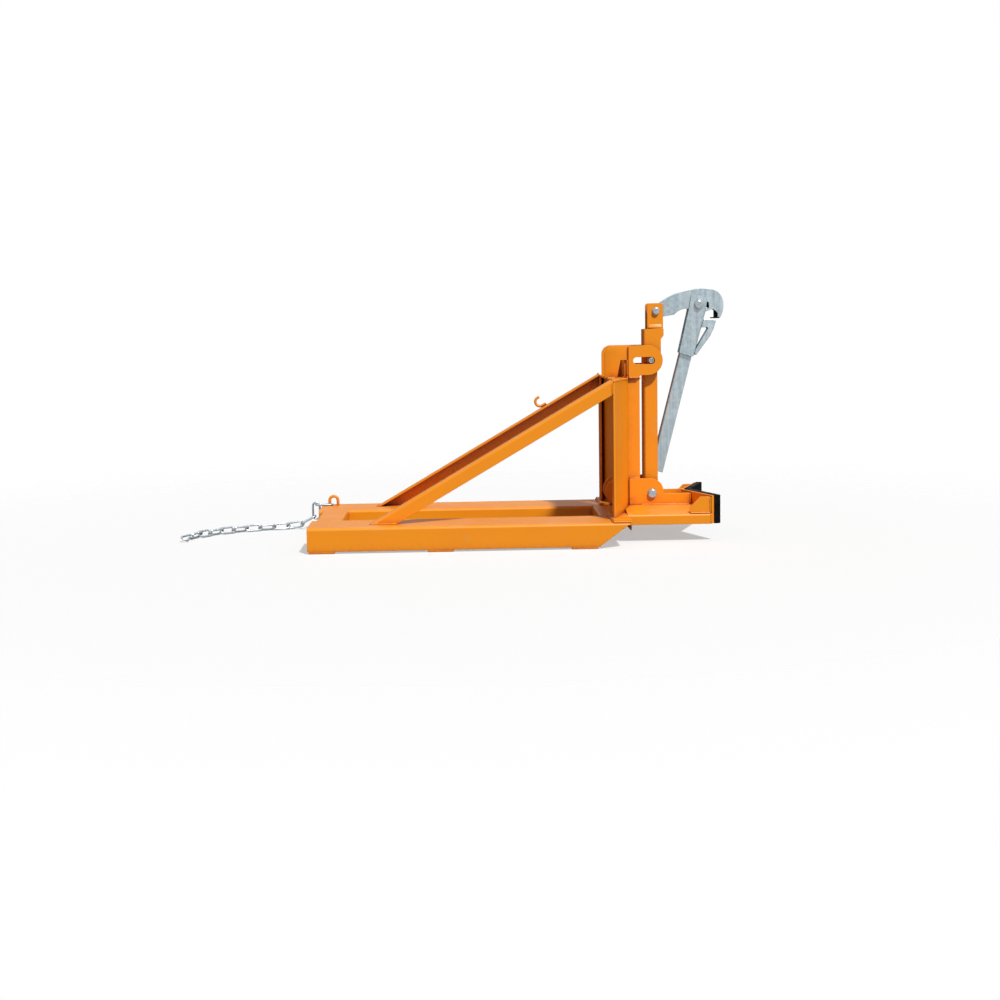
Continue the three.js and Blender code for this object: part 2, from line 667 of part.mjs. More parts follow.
function leverChannel() {
  const half = LEVER_SHEET / 2;
  const edge = LEVER_HALF_WIDTH - half;
  const depth = LEVER_REACH / 2;
  const section = foldedSheet([[-depth, -edge], [-half, -edge], [-half, edge], [-depth, edge]],
    LEVER_SHEET, LEVER_SHEET);
  const up = new THREE.Vector3(Math.sin(LEVER_TILT), 0, Math.cos(LEVER_TILT));
  const forward = new THREE.Vector3(Math.cos(LEVER_TILT), 0, -Math.sin(LEVER_TILT));
  const channel = extrude(section, 2 * LEVER_REACH)
    .translate(0, 0, -LEVER_REACH)
    .applyMatrix4(new THREE.Matrix4().makeBasis(forward, Y, up))
    .translate(LEVER_FRONT[0], 0, LEVER_FRONT[1]);
  const side = outline([...LEVER_SIDE, LEVER_FOOT, [LEVER_FRONT[0] + 2, LEVER_FRONT[1]]],
    [roundHole(...LEVER_PIVOT, LEVER_BOLT.shank + BOLT_CLEARANCE)]);
  const mouth = rectangle([LEVER_FRONT[0] - LEVER_REACH, LEVER_FRONT[0] + LEVER_REACH],
    [LEVER_WEB_TOP_Z, LEVER_WEB_TOP_Z + LEVER_REACH]);
  const inside = LEVER_HALF_WIDTH - LEVER_SHEET;
  const body = common(channel, alongY(side, -LEVER_HALF_WIDTH - 1, LEVER_HALF_WIDTH + 1));
  return cut(body, alongY(mouth, -inside, inside));
}

function leverBar() {
  const up = new THREE.Vector3(Math.sin(BAR_TILT), 0, Math.cos(BAR_TILT));
  const forward = new THREE.Vector3(Math.cos(BAR_TILT), 0, -Math.sin(BAR_TILT));
  const edge = BAR_HALF_WIDTH - BAR_SHEET / 2;
  const rear = BAR_SHEET / 2 - BAR_DEPTH;
  const section = foldedSheet([[0, edge], [rear, edge], [rear, -edge], [0, -edge]], BAR_SHEET, BAR_SHEET);
  const [heelReach, heelRise] = BAR_HEEL_CUT;
  const heel = outline([
    [-BAR_DEPTH - 1, -1],
    [heelReach - BAR_DEPTH, -1],
    [-BAR_DEPTH - 1, heelRise],
  ]);
  return cut(extrude(section, BAR_LENGTH), alongY(heel, -BAR_HALF_WIDTH - 1, BAR_HALF_WIDTH + 1))
    .applyMatrix4(new THREE.Matrix4().makeBasis(forward, Y, up))
    .translate(BAR_FOOT[0], 0, BAR_FOOT[1]);
}

// Forward position of the lever's front face at a height.
function leverFrontX(z) {
  return LEVER_FRONT[0] + (z - LEVER_FRONT[1]) * Math.tan(LEVER_TILT) + CATCH_GAP;
}

function lowerCatch() {
  const [bottom, top] = CATCH_Z;
  const [mouthBottom, mouthTop] = CATCH_MOUTH_Z;
  const shape = outline([
    [leverFrontX(top), top],
    ...CATCH_EDGE,
    [leverFrontX(bottom) + 6, bottom - 4],
    [leverFrontX(bottom), bottom],
    [leverFrontX(mouthBottom), mouthBottom],
    CATCH_MOUTH_CORNER,
    [leverFrontX(mouthTop), mouthTop],
  ]);
  return alongY(shape, -CATCH_HALF_WIDTH, CATCH_HALF_WIDTH);
}

// A disc with its axis along Y; with six sides it is a hexagon.
function crossDisc([x, z], radius, sides, from, to) {
  return new THREE.CylinderGeometry(radius, radius, to - from, sides).translate(x, (from + to) / 2, z);
}

// A hexagon bolt across the plane of symmetry, with washers, nut and spacing sleeves in one solid.
function crossBolt(spot, size) {
  const disc = (...measures) => crossDisc(spot, ...measures);
  const outer = size.grip + WASHER;
  const threadEnd = outer + size.height + THREAD_END;
  const parts = [
    disc(size.head, 6, -outer - size.height, -outer + 0.5),
    disc(size.head, 6, outer - 0.5, outer + size.height),
    ...[-1, 1].flatMap((side) => [
      disc(size.washer, 18, ...sideRange(side, [size.grip, outer])),
      disc(size.sleeve, 16, ...sideRange(side, size.sleeveY)),
    ]),
  ];
  return join(disc(size.shank, 16, -outer, threadEnd), ...parts);
}

// The round pin whose ends run in the slots of the ears.
function slotPin() {
  const { radius, reach, collar, collarY, socket, socketDepth } = SLOT_PIN;
  const disc = (...measures) => crossDisc([SLOT_X[1], SLOT_Z], ...measures);
  const collars = [-1, 1].map((side) => disc(collar, 20, ...sideRange(side, collarY)));
  const sockets = [-1, 1].map((side) =>
    disc(socket, 6, ...sideRange(side, [reach - socketDepth, reach + 1])));
  return cut(join(disc(radius, 20, -reach, reach), ...collars), ...sockets);
}

// A round bar swept along a path of points.
function bentBar(points, radius, steps, sides = 8) {
  const path = new THREE.CatmullRomCurve3(points, false, 'centripetal');
  const section = new THREE.Shape(Array.from({ length: sides }, (_, i) => {
    const turn = (2 * Math.PI * (i + 0.5)) / sides;
    return new THREE.Vector2(radius * Math.cos(turn), radius * Math.sin(turn));
  }));
  return new THREE.ExtrudeGeometry(section, { steps, extrudePath: path });
}

function arcPoints(centre, radius, from, to, steps) {
  return Array.from({ length: steps + 1 }, (_, i) => {
    const turn = from + ((to - from) * i) / steps;
    return [centre[0] + radius * Math.cos(turn), centre[1] + radius * Math.sin(turn)];
  });
}

function chainEye() {
  const [rear, front] = EYE_LEGS_X;
  const radius = (front - rear) / 2;
  const centre = [(rear + front) / 2, EYE_TOP_Z - radius];
  const foot = POCKET_TOP_Z + SEAT_GAP;
  const line = [
    [rear, foot],
    [rear, foot + EYE_STRAIGHT],
    ...arcPoints(centre, radius, Math.PI, 0, 6),
    [front, foot + EYE_STRAIGHT],
    [front, foot],
  ];
  return bentBar(line.map(([x, z]) => new THREE.Vector3(x, CHAIN_Y, z)), EYE_BAR, 18);
}

// The hook on the far brace: a shank along the flange that turns back over itself.
function jHook() {
  const y = MAST_WING_Y - BRACE_FLANGE / 2;
  const rise = J_HOOK_BAR + SEAT_GAP + 0.3;
  const line = [
    [0, rise],
    [-J_HOOK_SHANK, rise],
    ...arcPoints([-J_HOOK_SHANK - 3, rise + J_HOOK_BEND], J_HOOK_BEND, -Math.PI / 2, -1.5 * Math.PI, 6),
    [-J_HOOK_TIP, rise + 2 * J_HOOK_BEND],
  ];
  return bentBar(line.map(([u, n]) => new THREE.Vector3(
    J_HOOK_FOOT[0] + u * Math.cos(BRACE_SLOPE) - n * Math.sin(BRACE_SLOPE),
    y,
    J_HOOK_FOOT[1] + u * Math.sin(BRACE_SLOPE) + n * Math.cos(BRACE_SLOPE),
  )), J_HOOK_BAR, 16);
}

// A welded link: a ring pulled apart in the middle, lying in its own XY plane.
function chainLink() {
  const flatten = Math.cos(Math.PI / LINK_RINGS);
  const ring = new THREE.TorusGeometry(LINK_CROWN / flatten, LINK_WIRE, LINK_FACETS, LINK_RINGS);
  ring.rotateZ(Math.PI / LINK_RINGS);
  const spots = ring.attributes.position;
  for (let i = 0; i < spots.count; i += 1) {
    const x = spots.getX(i);
    spots.setX(i, x + Math.sign(x) * LINK_HALF_STRAIGHT);
  }
  return ring;
}

// The axes of a link from its heading, its climb and its roll about its own length, in degrees.
function linkAxes(azimuth, climb, roll) {
  const [turn, lift, twist] = [azimuth, climb, roll].map(THREE.MathUtils.degToRad);
  const along = new THREE.Vector3(
    Math.cos(turn) * Math.cos(lift), Math.sin(turn) * Math.cos(lift), Math.sin(lift));
  const sideways = new THREE.Vector3(-Math.sin(turn), Math.cos(turn), 0);
  const normal = sideways.applyAxisAngle(along, twist);
  return { along, normal };
}

// The spot on a link's far crown that the next piece pulls on, in its own direction.
function crownSpot(previous, next) {
  const arcCentre = previous.centre.clone().addScaledVector(previous.along, LINK_HALF_STRAIGHT);
  const inPlane = next.along.clone().projectOnPlane(previous.normal);
  const pull = inPlane.length() > 0.1 ? inPlane.normalize() : previous.along;
  return arcCentre.addScaledVector(pull, LINK_CROWN);
}

function turnTo(object, { along, normal }) {
  const across = new THREE.Vector3().crossVectors(normal, along);
  object.setRotationFromMatrix(new THREE.Matrix4().makeBasis(along, across, normal));
}

function linkSettings(index) {
  if (index < FIRST_LINKS.length) {
    return FIRST_LINKS[index];
  }
  const after = index - FIRST_LINKS.length + 1;
  const azimuth = FIRST_LINKS.at(-1)[0] + CHAIN_TURN * after;
  return [azimuth, 0, index % 2 === 0 ? CHAIN_ROLL : -CHAIN_ROLL];
}

function addChain() {
  const geometry = chainLink();
  const reach = LINK_CROWN + LINK_HALF_STRAIGHT;
  const firstCentre = new THREE.Vector3(
    EYE_LEGS_X[0] + EYE_BAR + 0.5 - (reach - LINK_WIRE), CHAIN_Y, POCKET_TOP_Z + LINK_WIRE + SEAT_GAP);
  let previous = { ...linkAxes(...linkSettings(0)), centre: firstCentre };
  for (let i = 0; i < LINK_COUNT; i += 1) {
    if (i > 0) {
      const axes = linkAxes(...linkSettings(i));
      const centre = crownSpot(previous, axes).addScaledVector(axes.along, reach - LINK_PLAY);
      previous = { ...axes, centre };
    }
    const link = new THREE.Mesh(geometry, zinc);
    link.name = `chain_link_${String(i + 1).padStart(2, '0')}`;
    turnTo(link, previous);
    link.position.copy(previous.centre);
    model.add(link);
  }
  addSnapHook(previous);
}

// A snap hook bent from round bar, with a straight gate hinged beside its eye.
function addSnapHook(lastLink) {
  const [azimuth] = linkSettings(LINK_COUNT);
  const axes = linkAxes(azimuth, 0, HOOK_ROLL);
  const hook = new THREE.Group();
  hook.position.copy(crownSpot(lastLink, axes)).addScaledVector(axes.along, HOOK_EYE - LINK_PLAY);
  turnTo(hook, axes);
  const nose = [HOOK_LENGTH, HOOK_NOSE - HOOK_EYE];
  const line = [
    ...arcPoints([0, 0], HOOK_EYE, 0.1 * Math.PI, 1.5 * Math.PI, 9),
    [HOOK_SHANK_X[0], -HOOK_EYE],
    [HOOK_SHANK_X[1], nose[1] - HOOK_NOSE],
    ...arcPoints(nose, HOOK_NOSE, -Math.PI / 2, HOOK_MOUTH, 9),
  ];
  const body = bentBar(line.map(([x, y]) => new THREE.Vector3(x, y, 0)), LINK_WIRE, 34);
  const tip = line.at(-1);
  const gateStart = new THREE.Vector2(...GATE_START);
  const gateEnd = new THREE.Vector2(tip[0] - GATE_SHY[0], tip[1] - GATE_SHY[1]);
  const reach = gateEnd.clone().sub(gateStart);
  const gateBar = new THREE.CylinderGeometry(GATE_RADIUS, GATE_RADIUS, reach.length(), 10)
    .rotateZ(-Math.PI / 2)
    .translate(reach.length() / 2, 0, 0);
  const wire = new THREE.Mesh(body, zinc);
  wire.name = 'snap_hook';
  const gate = new THREE.Mesh(gateBar, zinc);
  gate.name = 'snap_gate';
  gate.position.set(gateStart.x, gateStart.y, 0);
  gate.rotation.z = reach.angle();
  hook.add(wire, gate);
  model.add(hook);
}

addPair(model, 'pocket', pocket, paint);
[-1, 1].forEach((side) => STRAP_CENTRES_X.forEach((centreX, i) => {
  addPiece(model, `${side < 0 ? 'near' : 'far'}_strap_${i + 1}`, strap(side, centreX), paint);
}));
addPiece(model, 'rear_cross_member', crossMember(REAR_MEMBER_X, REAR_MEMBER_BOTTOM_Z), paint);
addPiece(model, 'front_cross_member', crossMember(FRONT_MEMBER_X, FRONT_MEMBER_BOTTOM_Z), paint);
addPair(model, 'brace', brace, paint);
addPair(model, 'foot_plate', footPlate, paint);
addPair(model, 'mast_side', mastSide, paint);
addPiece(model, 'mast_cap', capPlate(), paint);
addPair(model, 'upper_stay', upperStay, paint);
addPair(model, 'slotted_ear', slottedEar, paint);
addPair(model, 'lower_stay', lowerStay, paint);
addPair(model, 'pivot_cheek', pivotCheek, paint);
addPiece(model, 'saddle_arm', saddleArm(), paint);
addPiece(model, 'cradle_plate', cradlePlate(), paint);
addPair(model, 'cradle_gusset', cradleGusset, paint);
addPair(model, 'cradle_pad', cradlePad, rubber);
addPiece(model, 'lower_pivot_bolt', crossBolt([PIVOT_X, PIVOT_Z], PIVOT_BOLT), bolt);
addPiece(model, 'chain_eye', chainEye(), paint);
addPiece(model, 'brace_hook', jHook(), paint);

addPiece(upright, 'upright', uprightChannel(), paint);
addPair(upright, 'head_plate', headPlate, paint);
addPiece(upright, 'slot_bolt', slotPin(), bolt);
addPiece(upright, 'jaw_bolt', crossBolt(JAW_PIVOT, JAW_BOLT), bolt);

addPair(jaw, 'jaw_plate', jawPlate, zinc);
addPiece(jaw, 'jaw_tooth', jawTooth(), rubber);
addPiece(jaw, 'lever_bolt', crossBolt(LEVER_PIVOT, LEVER_BOLT), bolt);

addPiece(lever, 'lever_channel', leverChannel(), zinc);
addPiece(lever, 'lever_bar', leverBar(), zinc);
addPiece(lever, 'lower_catch', lowerCatch(), zinc);

addChain();

export default model;
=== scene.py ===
import json
import math
from contextlib import contextmanager

import bmesh
import bpy
import numpy as np
from bpy.props import FloatProperty, FloatVectorProperty, PointerProperty
from mathutils import Matrix, Vector


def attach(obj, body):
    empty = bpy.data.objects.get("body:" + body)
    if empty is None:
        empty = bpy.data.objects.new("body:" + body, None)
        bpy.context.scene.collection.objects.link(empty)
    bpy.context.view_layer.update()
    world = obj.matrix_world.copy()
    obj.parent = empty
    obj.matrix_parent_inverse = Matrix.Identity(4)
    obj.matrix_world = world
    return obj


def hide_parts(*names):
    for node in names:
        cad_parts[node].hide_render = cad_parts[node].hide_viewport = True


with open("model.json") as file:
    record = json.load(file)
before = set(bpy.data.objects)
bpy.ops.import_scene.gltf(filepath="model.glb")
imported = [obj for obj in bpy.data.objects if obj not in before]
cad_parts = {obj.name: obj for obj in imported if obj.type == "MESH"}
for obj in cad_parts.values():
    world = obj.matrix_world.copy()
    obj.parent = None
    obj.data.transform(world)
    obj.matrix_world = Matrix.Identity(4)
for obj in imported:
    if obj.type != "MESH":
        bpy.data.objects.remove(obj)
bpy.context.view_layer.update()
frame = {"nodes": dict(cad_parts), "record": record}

bl_info = {
    "name": "Lifting clamp finish",
    "version": (1, 0, 0),
    "blender": (4, 5, 0),
    "location": "View3D > Sidebar > Clamp",
    "description": "Eased edges, weld beads, fasteners, chain and finishes for a lifting clamp",
    "category": "Object",
}

# The drawing's millimetres are counted from the front bend of the mast, and the row's origin
# is under the middle of the clamp.
MIDDLE_X = 582.3

SIDES = {"near": -1, "far": 1}
SMOOTH_BELOW = math.radians(32)

# Bolts: middle of the axis in x and z, shank and head radius, head height, reach to the head,
# washer radius and spacing sleeve, in millimetres.
BOLTS = {
    "lower_pivot_bolt": dict(spot=(65.4, 141), body="frame", shank=10, head=14.2, height=9, grip=70.6,
                             washer=15, sleeve=14, sleeve_y=(38.4, 60)),
    "jaw_bolt": dict(spot=(84.9, 726), body="upright", shank=7.5, head=11, height=8, grip=33,
                     washer=12, sleeve=12, sleeve_y=(20.3, 24.4)),
    "lever_bolt": dict(spot=(223.8, 744.5), body="jaw", shank=8, head=13.5, height=8, grip=26.3,
                       washer=15, sleeve=12, sleeve_y=(20.2, 21.2)),
}

# The pin in the slots of the ears, with a hexagon socket in each end and two collars
PIN_SPOT = (65.4, 568.5)
PIN_RADIUS = 8.7
PIN_REACH = 70
PIN_COLLAR = 12
PIN_COLLAR_Y = (38.4, 59.5)
PIN_SOCKET = 5.8
PIN_SOCKET_DEPTH = 6

WASHER = 2.5
THREAD_END = 5
THREAD_PITCH = 1.6
CONE_SLOPE = math.tan(math.radians(30))

# Chain links and the snap hook, whose spot is counted from the row's origin. Its bulge is given
# as a share of the wire, its middle and its reach along the hook.
LINK_COUNT = 12
LINK_WIRE = 3.5
LINK_CROWN = 11.5
LINK_HALF_STRAIGHT = 16.5
HOOK_SPOT = (-861.349, 56.9, 12.575)
HOOK_HEADING = 250
HOOK_ROLL = 60
HOOK_EYE = 8
HOOK_WIRE = 3.4
HOOK_NOSE = 11.5
HOOK_LENGTH = 46
HOOK_BULGE = (0.04, 0.78, 0.10)
HOOK_TIP = 0.72
GATE_START = (14, 1.5)
GATE_SHORT = (5.5, 3.2)
GATE_RADIUS = 2.6

# Fillet at the step from the upright to its head plates
FILLET_X = (59, 105)
FILLET_Y = (32.8, 37.6)
FILLET_Z = (672.1, 684)

# Relief in the near stay beside its ear, and the web between the stays
RELIEF_X = (-47, -7.9)
RELIEF_Y = (-66, -46)
RELIEF_Z = (501.5, 571.5)
RELIEF_SHOULDER = 14
WEB_X = (-20, -12)
WEB_Y = (-51.7, 51.7)
WEB_Z = (514.9, 600)

# Braces: rise along the clamp, a spot on the upper edge and the height of the web
BRACE_RISE = 0.5775
BRACE_TOP = (-83.6, 514.8)
BRACE_WEB = 41
BRACE_FOOT_Z = 80.3

# Bent eye on the far channel and open hook on the far brace
EYE_X = (-1002, -974)
EYE_Y = 285
EYE_LEG_Z = (80.3, 86, 92)
EYE_BOW_Z = 98
EYE_WIRE = 5
BRACE_HOOK_SPOT = (-255, 247.5, 415.8)
BRACE_HOOK_RISE = 5.1
BRACE_HOOK_BEND = 15.5
BRACE_HOOK_WIRE = 4.5

# Seams that the weld beads follow
CROSS_MEMBERS = ((-1014, -932, 41), (-111, -29, 31))
STRAP_MIDDLES = (-984, -618, -173)
STRAP_HALF_SEAM = 39
MAST_FOOT_Z = 81.6
CAP_SEAM_Z = 515.2
CRADLE_REAR = 168
CRADLE_SLOPE = 0.34

# Lamp and camera
LAMP_WAY = (0.5, -1.0, 1.3)
LAMP_ANGLE = math.radians(3.5)
CAMERA_SPOT = (0.0213, -5.4, 0.7231)
CAMERA_RIGHT = (0.99951665, -0.02688391, -0.01561127)
CAMERA_DOWN = (-0.01849317, -0.11052275, -0.99370153)
CAMERA_FORWARD = (0.02498918, 0.99350993, -0.1109665)
FLOOR_RADIUS = 40


# ---------------------------------------------------------------- sizes and colours

class ClampEdges(bpy.types.PropertyGroup):
    """Widths of the eased edges and of the weld beads"""

    plate: FloatProperty(
        name="Plate edge", description="Width of the eased edge of a cut plate or folded sheet",
        default=0.0013, min=0.0002, max=0.003, unit="LENGTH")
    sheet: FloatProperty(
        name="Zinc edge", description="Width of the rounded edge of a galvanised sheet",
        default=0.0019, min=0.0002, max=0.003, unit="LENGTH")
    rubber: FloatProperty(
        name="Rubber edge", description="Width of the rounded edge of a moulded pad",
        default=0.0022, min=0.0005, max=0.006, unit="LENGTH")
    bead: FloatProperty(
        name="Weld bead", description="Half the width of a weld bead",
        default=0.003, min=0.001, max=0.006, unit="LENGTH")
    ripple: FloatProperty(
        name="Weld ripple", description="Distance from one ripple of a bead to the next",
        default=0.0034, min=0.001, max=0.01, unit="LENGTH")


class ClampFinish(bpy.types.PropertyGroup):
    """Colours and roughness of the four finishes"""

    paint: FloatVectorProperty(
        name="Paint", description="Colour of the orange paint",
        default=(0.83, 0.268, 0.003, 1), size=4, min=0, max=1, subtype="COLOR")
    paint_roughness: FloatProperty(
        name="Paint roughness", description="Roughness of clean paint",
        default=0.38, min=0, max=1, subtype="FACTOR")
    galvanised: FloatVectorProperty(
        name="Galvanised steel", description="Colour of the hot-dip galvanised sheet",
        default=(0.46, 0.57, 0.62, 1), size=4, min=0, max=1, subtype="COLOR")
    zinc: FloatVectorProperty(
        name="Bright zinc", description="Colour of the plated bolts and chain",
        default=(0.62, 0.68, 0.72, 1), size=4, min=0, max=1, subtype="COLOR")
    rubber: FloatVectorProperty(
        name="Rubber", description="Colour of the black rubber",
        default=(0.003, 0.003, 0.0035, 1), size=4, min=0, max=1, subtype="COLOR")
    spangle: FloatProperty(
        name="Spangle", description="Size of one zinc crystal on the galvanised sheet",
        default=0.009, min=0.002, max=0.04, unit="LENGTH")


class ClampStage(bpy.types.PropertyGroup):
    """Light and floor"""

    floor: FloatVectorProperty(
        name="Floor", description="Colour of the floor",
        default=(0.86, 0.86, 0.86, 1), size=4, min=0, max=1, subtype="COLOR")
    lamp: FloatProperty(
        name="Lamp", description="Strength of the large lamp at the upper right", default=3.7, min=0, max=10)
    sky: FloatProperty(
        name="Surroundings", description="Strength of the white surroundings as light",
        default=0.20, min=0, max=2)
    lens: FloatProperty(
        name="Lens", description="Focal length of the camera in millimetres", default=59.868, min=20, max=200)


# ---------------------------------------------------------------- places and selection

def at(x, y, z):
    """A spot of the drawing, in metres in the row's frame."""
    return Vector((x + MIDDLE_X, y, z)) / 1000


def body_of_node(node):
    groups = frame["record"]["behaviour"]["bodies"]
    return next(body for body, members in groups.items() if node in members)


def select_only(*pieces):
    bpy.ops.object.select_all(action="DESELECT")
    for piece in pieces:
        piece.select_set(True)
    bpy.context.view_layer.objects.active = pieces[0]


def new_primitive(add, **settings):
    """Adds a primitive mesh with nothing else selected, and returns its object."""
    bpy.ops.object.select_all(action="DESELECT")
    add(**settings)
    return bpy.context.active_object


def new_object(name, data):
    made = bpy.data.objects.new(name, data)
    bpy.context.scene.collection.objects.link(made)
    return made


@contextmanager
def editing():
    """Edit mode for the lines inside, then object mode again."""
    bpy.ops.object.mode_set(mode="EDIT")
    yield
    bpy.ops.object.mode_set(mode="OBJECT")


def select_elements(piece, kind, wanted):
    """In edit mode, selects the verts, edges or faces for which wanted(element) is true."""
    bpy.ops.mesh.select_mode(type=kind)
    bpy.ops.mesh.select_all(action="DESELECT")
    mesh = bmesh.from_edit_mesh(piece.data)
    elements = {"VERT": mesh.verts, "EDGE": mesh.edges, "FACE": mesh.faces}[kind]
    for element in elements:
        if wanted(element):
            element.select_set(True)
    mesh.select_flush_mode()
    bmesh.update_edit_mesh(piece.data)


def apply_modifier(piece, kind, **settings):
    modifier = piece.modifiers.new(kind.lower(), kind)
    for name, value in settings.items():
        setattr(modifier, name, value)
    select_only(piece)
    bpy.ops.object.modifier_apply(modifier=modifier.name)


def settle(piece):
    """Puts the object's own place, turn and size into its mesh."""
    select_only(piece)
    bpy.ops.object.transform_apply(location=True, rotation=True, scale=True)


def block(x, y, z):
    """A box between two drawing places along each axis."""
    made = new_primitive(
        bpy.ops.mesh.primitive_cube_add, size=1, location=at(sum(x) / 2, sum(y) / 2, sum(z) / 2),
        scale=((x[1] - x[0]) / 1000, (y[1] - y[0]) / 1000, (z[1] - z[0]) / 1000))
    settle(made)
    return made


def join(pieces, name):
    """One mesh from several, with its place in its vertices."""
    for piece in pieces:
        settle(piece)
    select_only(*pieces)
    if len(pieces) > 1:
        bpy.ops.object.join()
    joined = bpy.context.active_object
    joined.name = name
    joined.data.name = name
    return joined


def round_edges(piece, width, segments=2):
    """Rounds every edge sharper than a fold and keeps the flat faces flat in the light."""
    apply_modifier(piece, "BEVEL", width=width, segments=segments, limit_method="ANGLE",
                   angle_limit=math.radians(28), miter_outer="MITER_ARC", use_clamp_overlap=True)
    select_only(piece)
    bpy.ops.object.shade_smooth_by_angle(angle=SMOOTH_BELOW)
    apply_modifier(piece, "WEIGHTED_NORMAL", keep_sharp=True, weight=60)


def hand_over(piece, body, finish, *nodes):
    """Gives a finished piece its body, its finish and the solids that it stands for."""
    piece.data.materials.clear()
    piece.data.materials.append(finish_for(finish))
    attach(piece, body)
    if nodes:
        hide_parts(*nodes)


def eased(solid, width, finish="orange_paint", segments=2):
    """The solid as a welded mesh with rounded edges, in the solid's place."""
    piece = new_object(f"{solid}_eased", frame["nodes"][solid].data.copy())
    select_only(piece)
    with editing():
        bpy.ops.mesh.customdata_custom_splitnormals_clear()
        bpy.ops.mesh.select_all(action="SELECT")
        bpy.ops.mesh.remove_doubles(threshold=2e-6)
        bpy.ops.mesh.dissolve_limited(angle_limit=math.radians(0.5))
    round_edges(piece, width, segments)
    hand_over(piece, body_of_node(solid), finish, solid)


def round_bars(name, paths, radius, resolution, smooth_below):
    """Round bars as one mesh, along paths of places, each with its share of the radius."""
    line = bpy.data.curves.new(name, "CURVE")
    line.dimensions = "3D"
    line.bevel_depth = radius
    line.bevel_resolution = resolution
    line.use_fill_caps = True
    for path in paths:
        drawn = line.splines.new("POLY")
        drawn.points.add(len(path) - 1)
        for point, (place, width) in zip(drawn.points, path):
            point.co = (*place, 1)
            point.radius = width
    select_only(new_object(name, line))
    bpy.ops.object.convert(target="MESH")
    bpy.ops.object.shade_smooth_by_angle(angle=math.radians(smooth_below))
    return bpy.context.active_object


# ---------------------------------------------------------------- shader nodes

def feed(tree, made, inputs):
    """Links or sets inputs of a node."""
    for socket, value in inputs.items():
        if isinstance(value, bpy.types.NodeSocket):
            tree.links.new(value, made.inputs[socket])
        else:
            made.inputs[socket].default_value = value


def node(tree, kind, inputs=None, **settings):
    """A shader node with its settings and its inputs."""
    made = tree.nodes.new(kind)
    for name, value in settings.items():
        setattr(made, name, value)
    feed(tree, made, inputs or {})
    return made


def maths(tree, operation, *values, clamp=False):
    made = node(tree, "ShaderNodeMath", dict(enumerate(values)), operation=operation, use_clamp=clamp)
    return made.outputs[0]


def mixed(tree, factor, first, second):
    return node(tree, "ShaderNodeMix", {0: factor, 6: first, 7: second}, data_type="RGBA").outputs[2]


def ramp(tree, value, low, high):
    """0 below low, 1 above high and smooth between them."""
    return node(tree, "ShaderNodeMapRange", {"Value": value, "From Min": low, "From Max": high},
                interpolation_type="SMOOTHSTEP").outputs[0]


def object_place(tree):
    return node(tree, "ShaderNodeTexCoord").outputs["Object"]


def noise(tree, place, scale, detail=3.0, roughness=0.5):
    return node(tree, "ShaderNodeTexNoise", {
        "Vector": place, "Scale": scale, "Detail": detail, "Roughness": roughness}).outputs["Fac"]


def new_group(name, inputs, outputs):
    group = bpy.data.node_groups.new(name, "ShaderNodeTree")
    for socket, default in inputs.items():
        made = group.interface.new_socket(socket, in_out="INPUT", socket_type="NodeSocketFloat")
        made.default_value = default
    for socket in outputs:
        group.interface.new_socket(socket, in_out="OUTPUT", socket_type="NodeSocketFloat")
    return group, group.nodes.new("NodeGroupInput").outputs, group.nodes.new("NodeGroupOutput").inputs


def edge_rub_group():
    """Where an outer edge has lost its finish: Reach is in metres."""
    group, inputs, outputs = new_group("edge_rub", {"Reach": 0.002, "Amount": 0.5, "Scale": 90.0}, ["Mask"])
    rounded = node(group, "ShaderNodeBevel", {"Radius": inputs["Reach"]}, samples=4)
    straight = node(group, "ShaderNodeNewGeometry")
    facing = node(group, "ShaderNodeVectorMath", {
        0: rounded.outputs[0], 1: straight.outputs["Normal"]}, operation="DOT_PRODUCT").outputs["Value"]
    turned = maths(group, "MULTIPLY", maths(group, "SUBTRACT", 1.0, facing), 3.5, clamp=True)
    patches = noise(group, object_place(group), inputs["Scale"], 4.0, 0.65)
    broken = maths(group, "ADD", turned, maths(group, "SUBTRACT", patches, 1.0))
    worn = ramp(group, broken, 0.22, 0.42)
    group.links.new(maths(group, "MULTIPLY", worn, inputs["Amount"]), outputs["Mask"])
    return group


def corner_shade_and_grime_group():
    """Painted shade with grime: a mask that darkens inner corners where little light reaches, broken into
    patches. Reach is in metres.
    """
    group, inputs, outputs = new_group(
        "corner_shade_and_grime", {"Reach": 0.012, "Amount": 0.5, "Scale": 60.0}, ["Mask"])
    # Painted shade: the occlusion of the surface decides how dark a corner gets
    openness = node(group, "ShaderNodeAmbientOcclusion", {"Distance": inputs["Reach"]}, samples=4)
    closed = maths(group, "SUBTRACT", 1.0, openness.outputs["AO"])
    patches = noise(group, object_place(group), inputs["Scale"], 4.0, 0.6)
    darkened = ramp(group, maths(group, "MULTIPLY", closed, maths(group, "ADD", patches, 0.5)), 0.15, 0.75)
    group.links.new(maths(group, "MULTIPLY", darkened, inputs["Amount"]), outputs["Mask"])
    return group


def settled_dust_group():
    """Dust on the faces that look up."""
    group, inputs, outputs = new_group("settled_dust", {"Amount": 0.3, "Scale": 14.0}, ["Mask"])
    normal = node(group, "ShaderNodeNewGeometry").outputs["Normal"]
    up = node(group, "ShaderNodeSeparateXYZ", {0: normal}).outputs["Z"]
    place = object_place(group)
    clouds = noise(group, place, inputs["Scale"], 5.0, 0.62)
    specks = noise(group, place, 420.0, 2.0, 0.5)
    dust = maths(group, "MULTIPLY", ramp(group, up, 0.35, 0.95), ramp(group, clouds, 0.42, 0.75))
    grainy = maths(group, "MULTIPLY", dust, maths(group, "ADD", specks, 0.3))
    group.links.new(maths(group, "MULTIPLY", grainy, inputs["Amount"], clamp=True), outputs["Mask"])
    return group


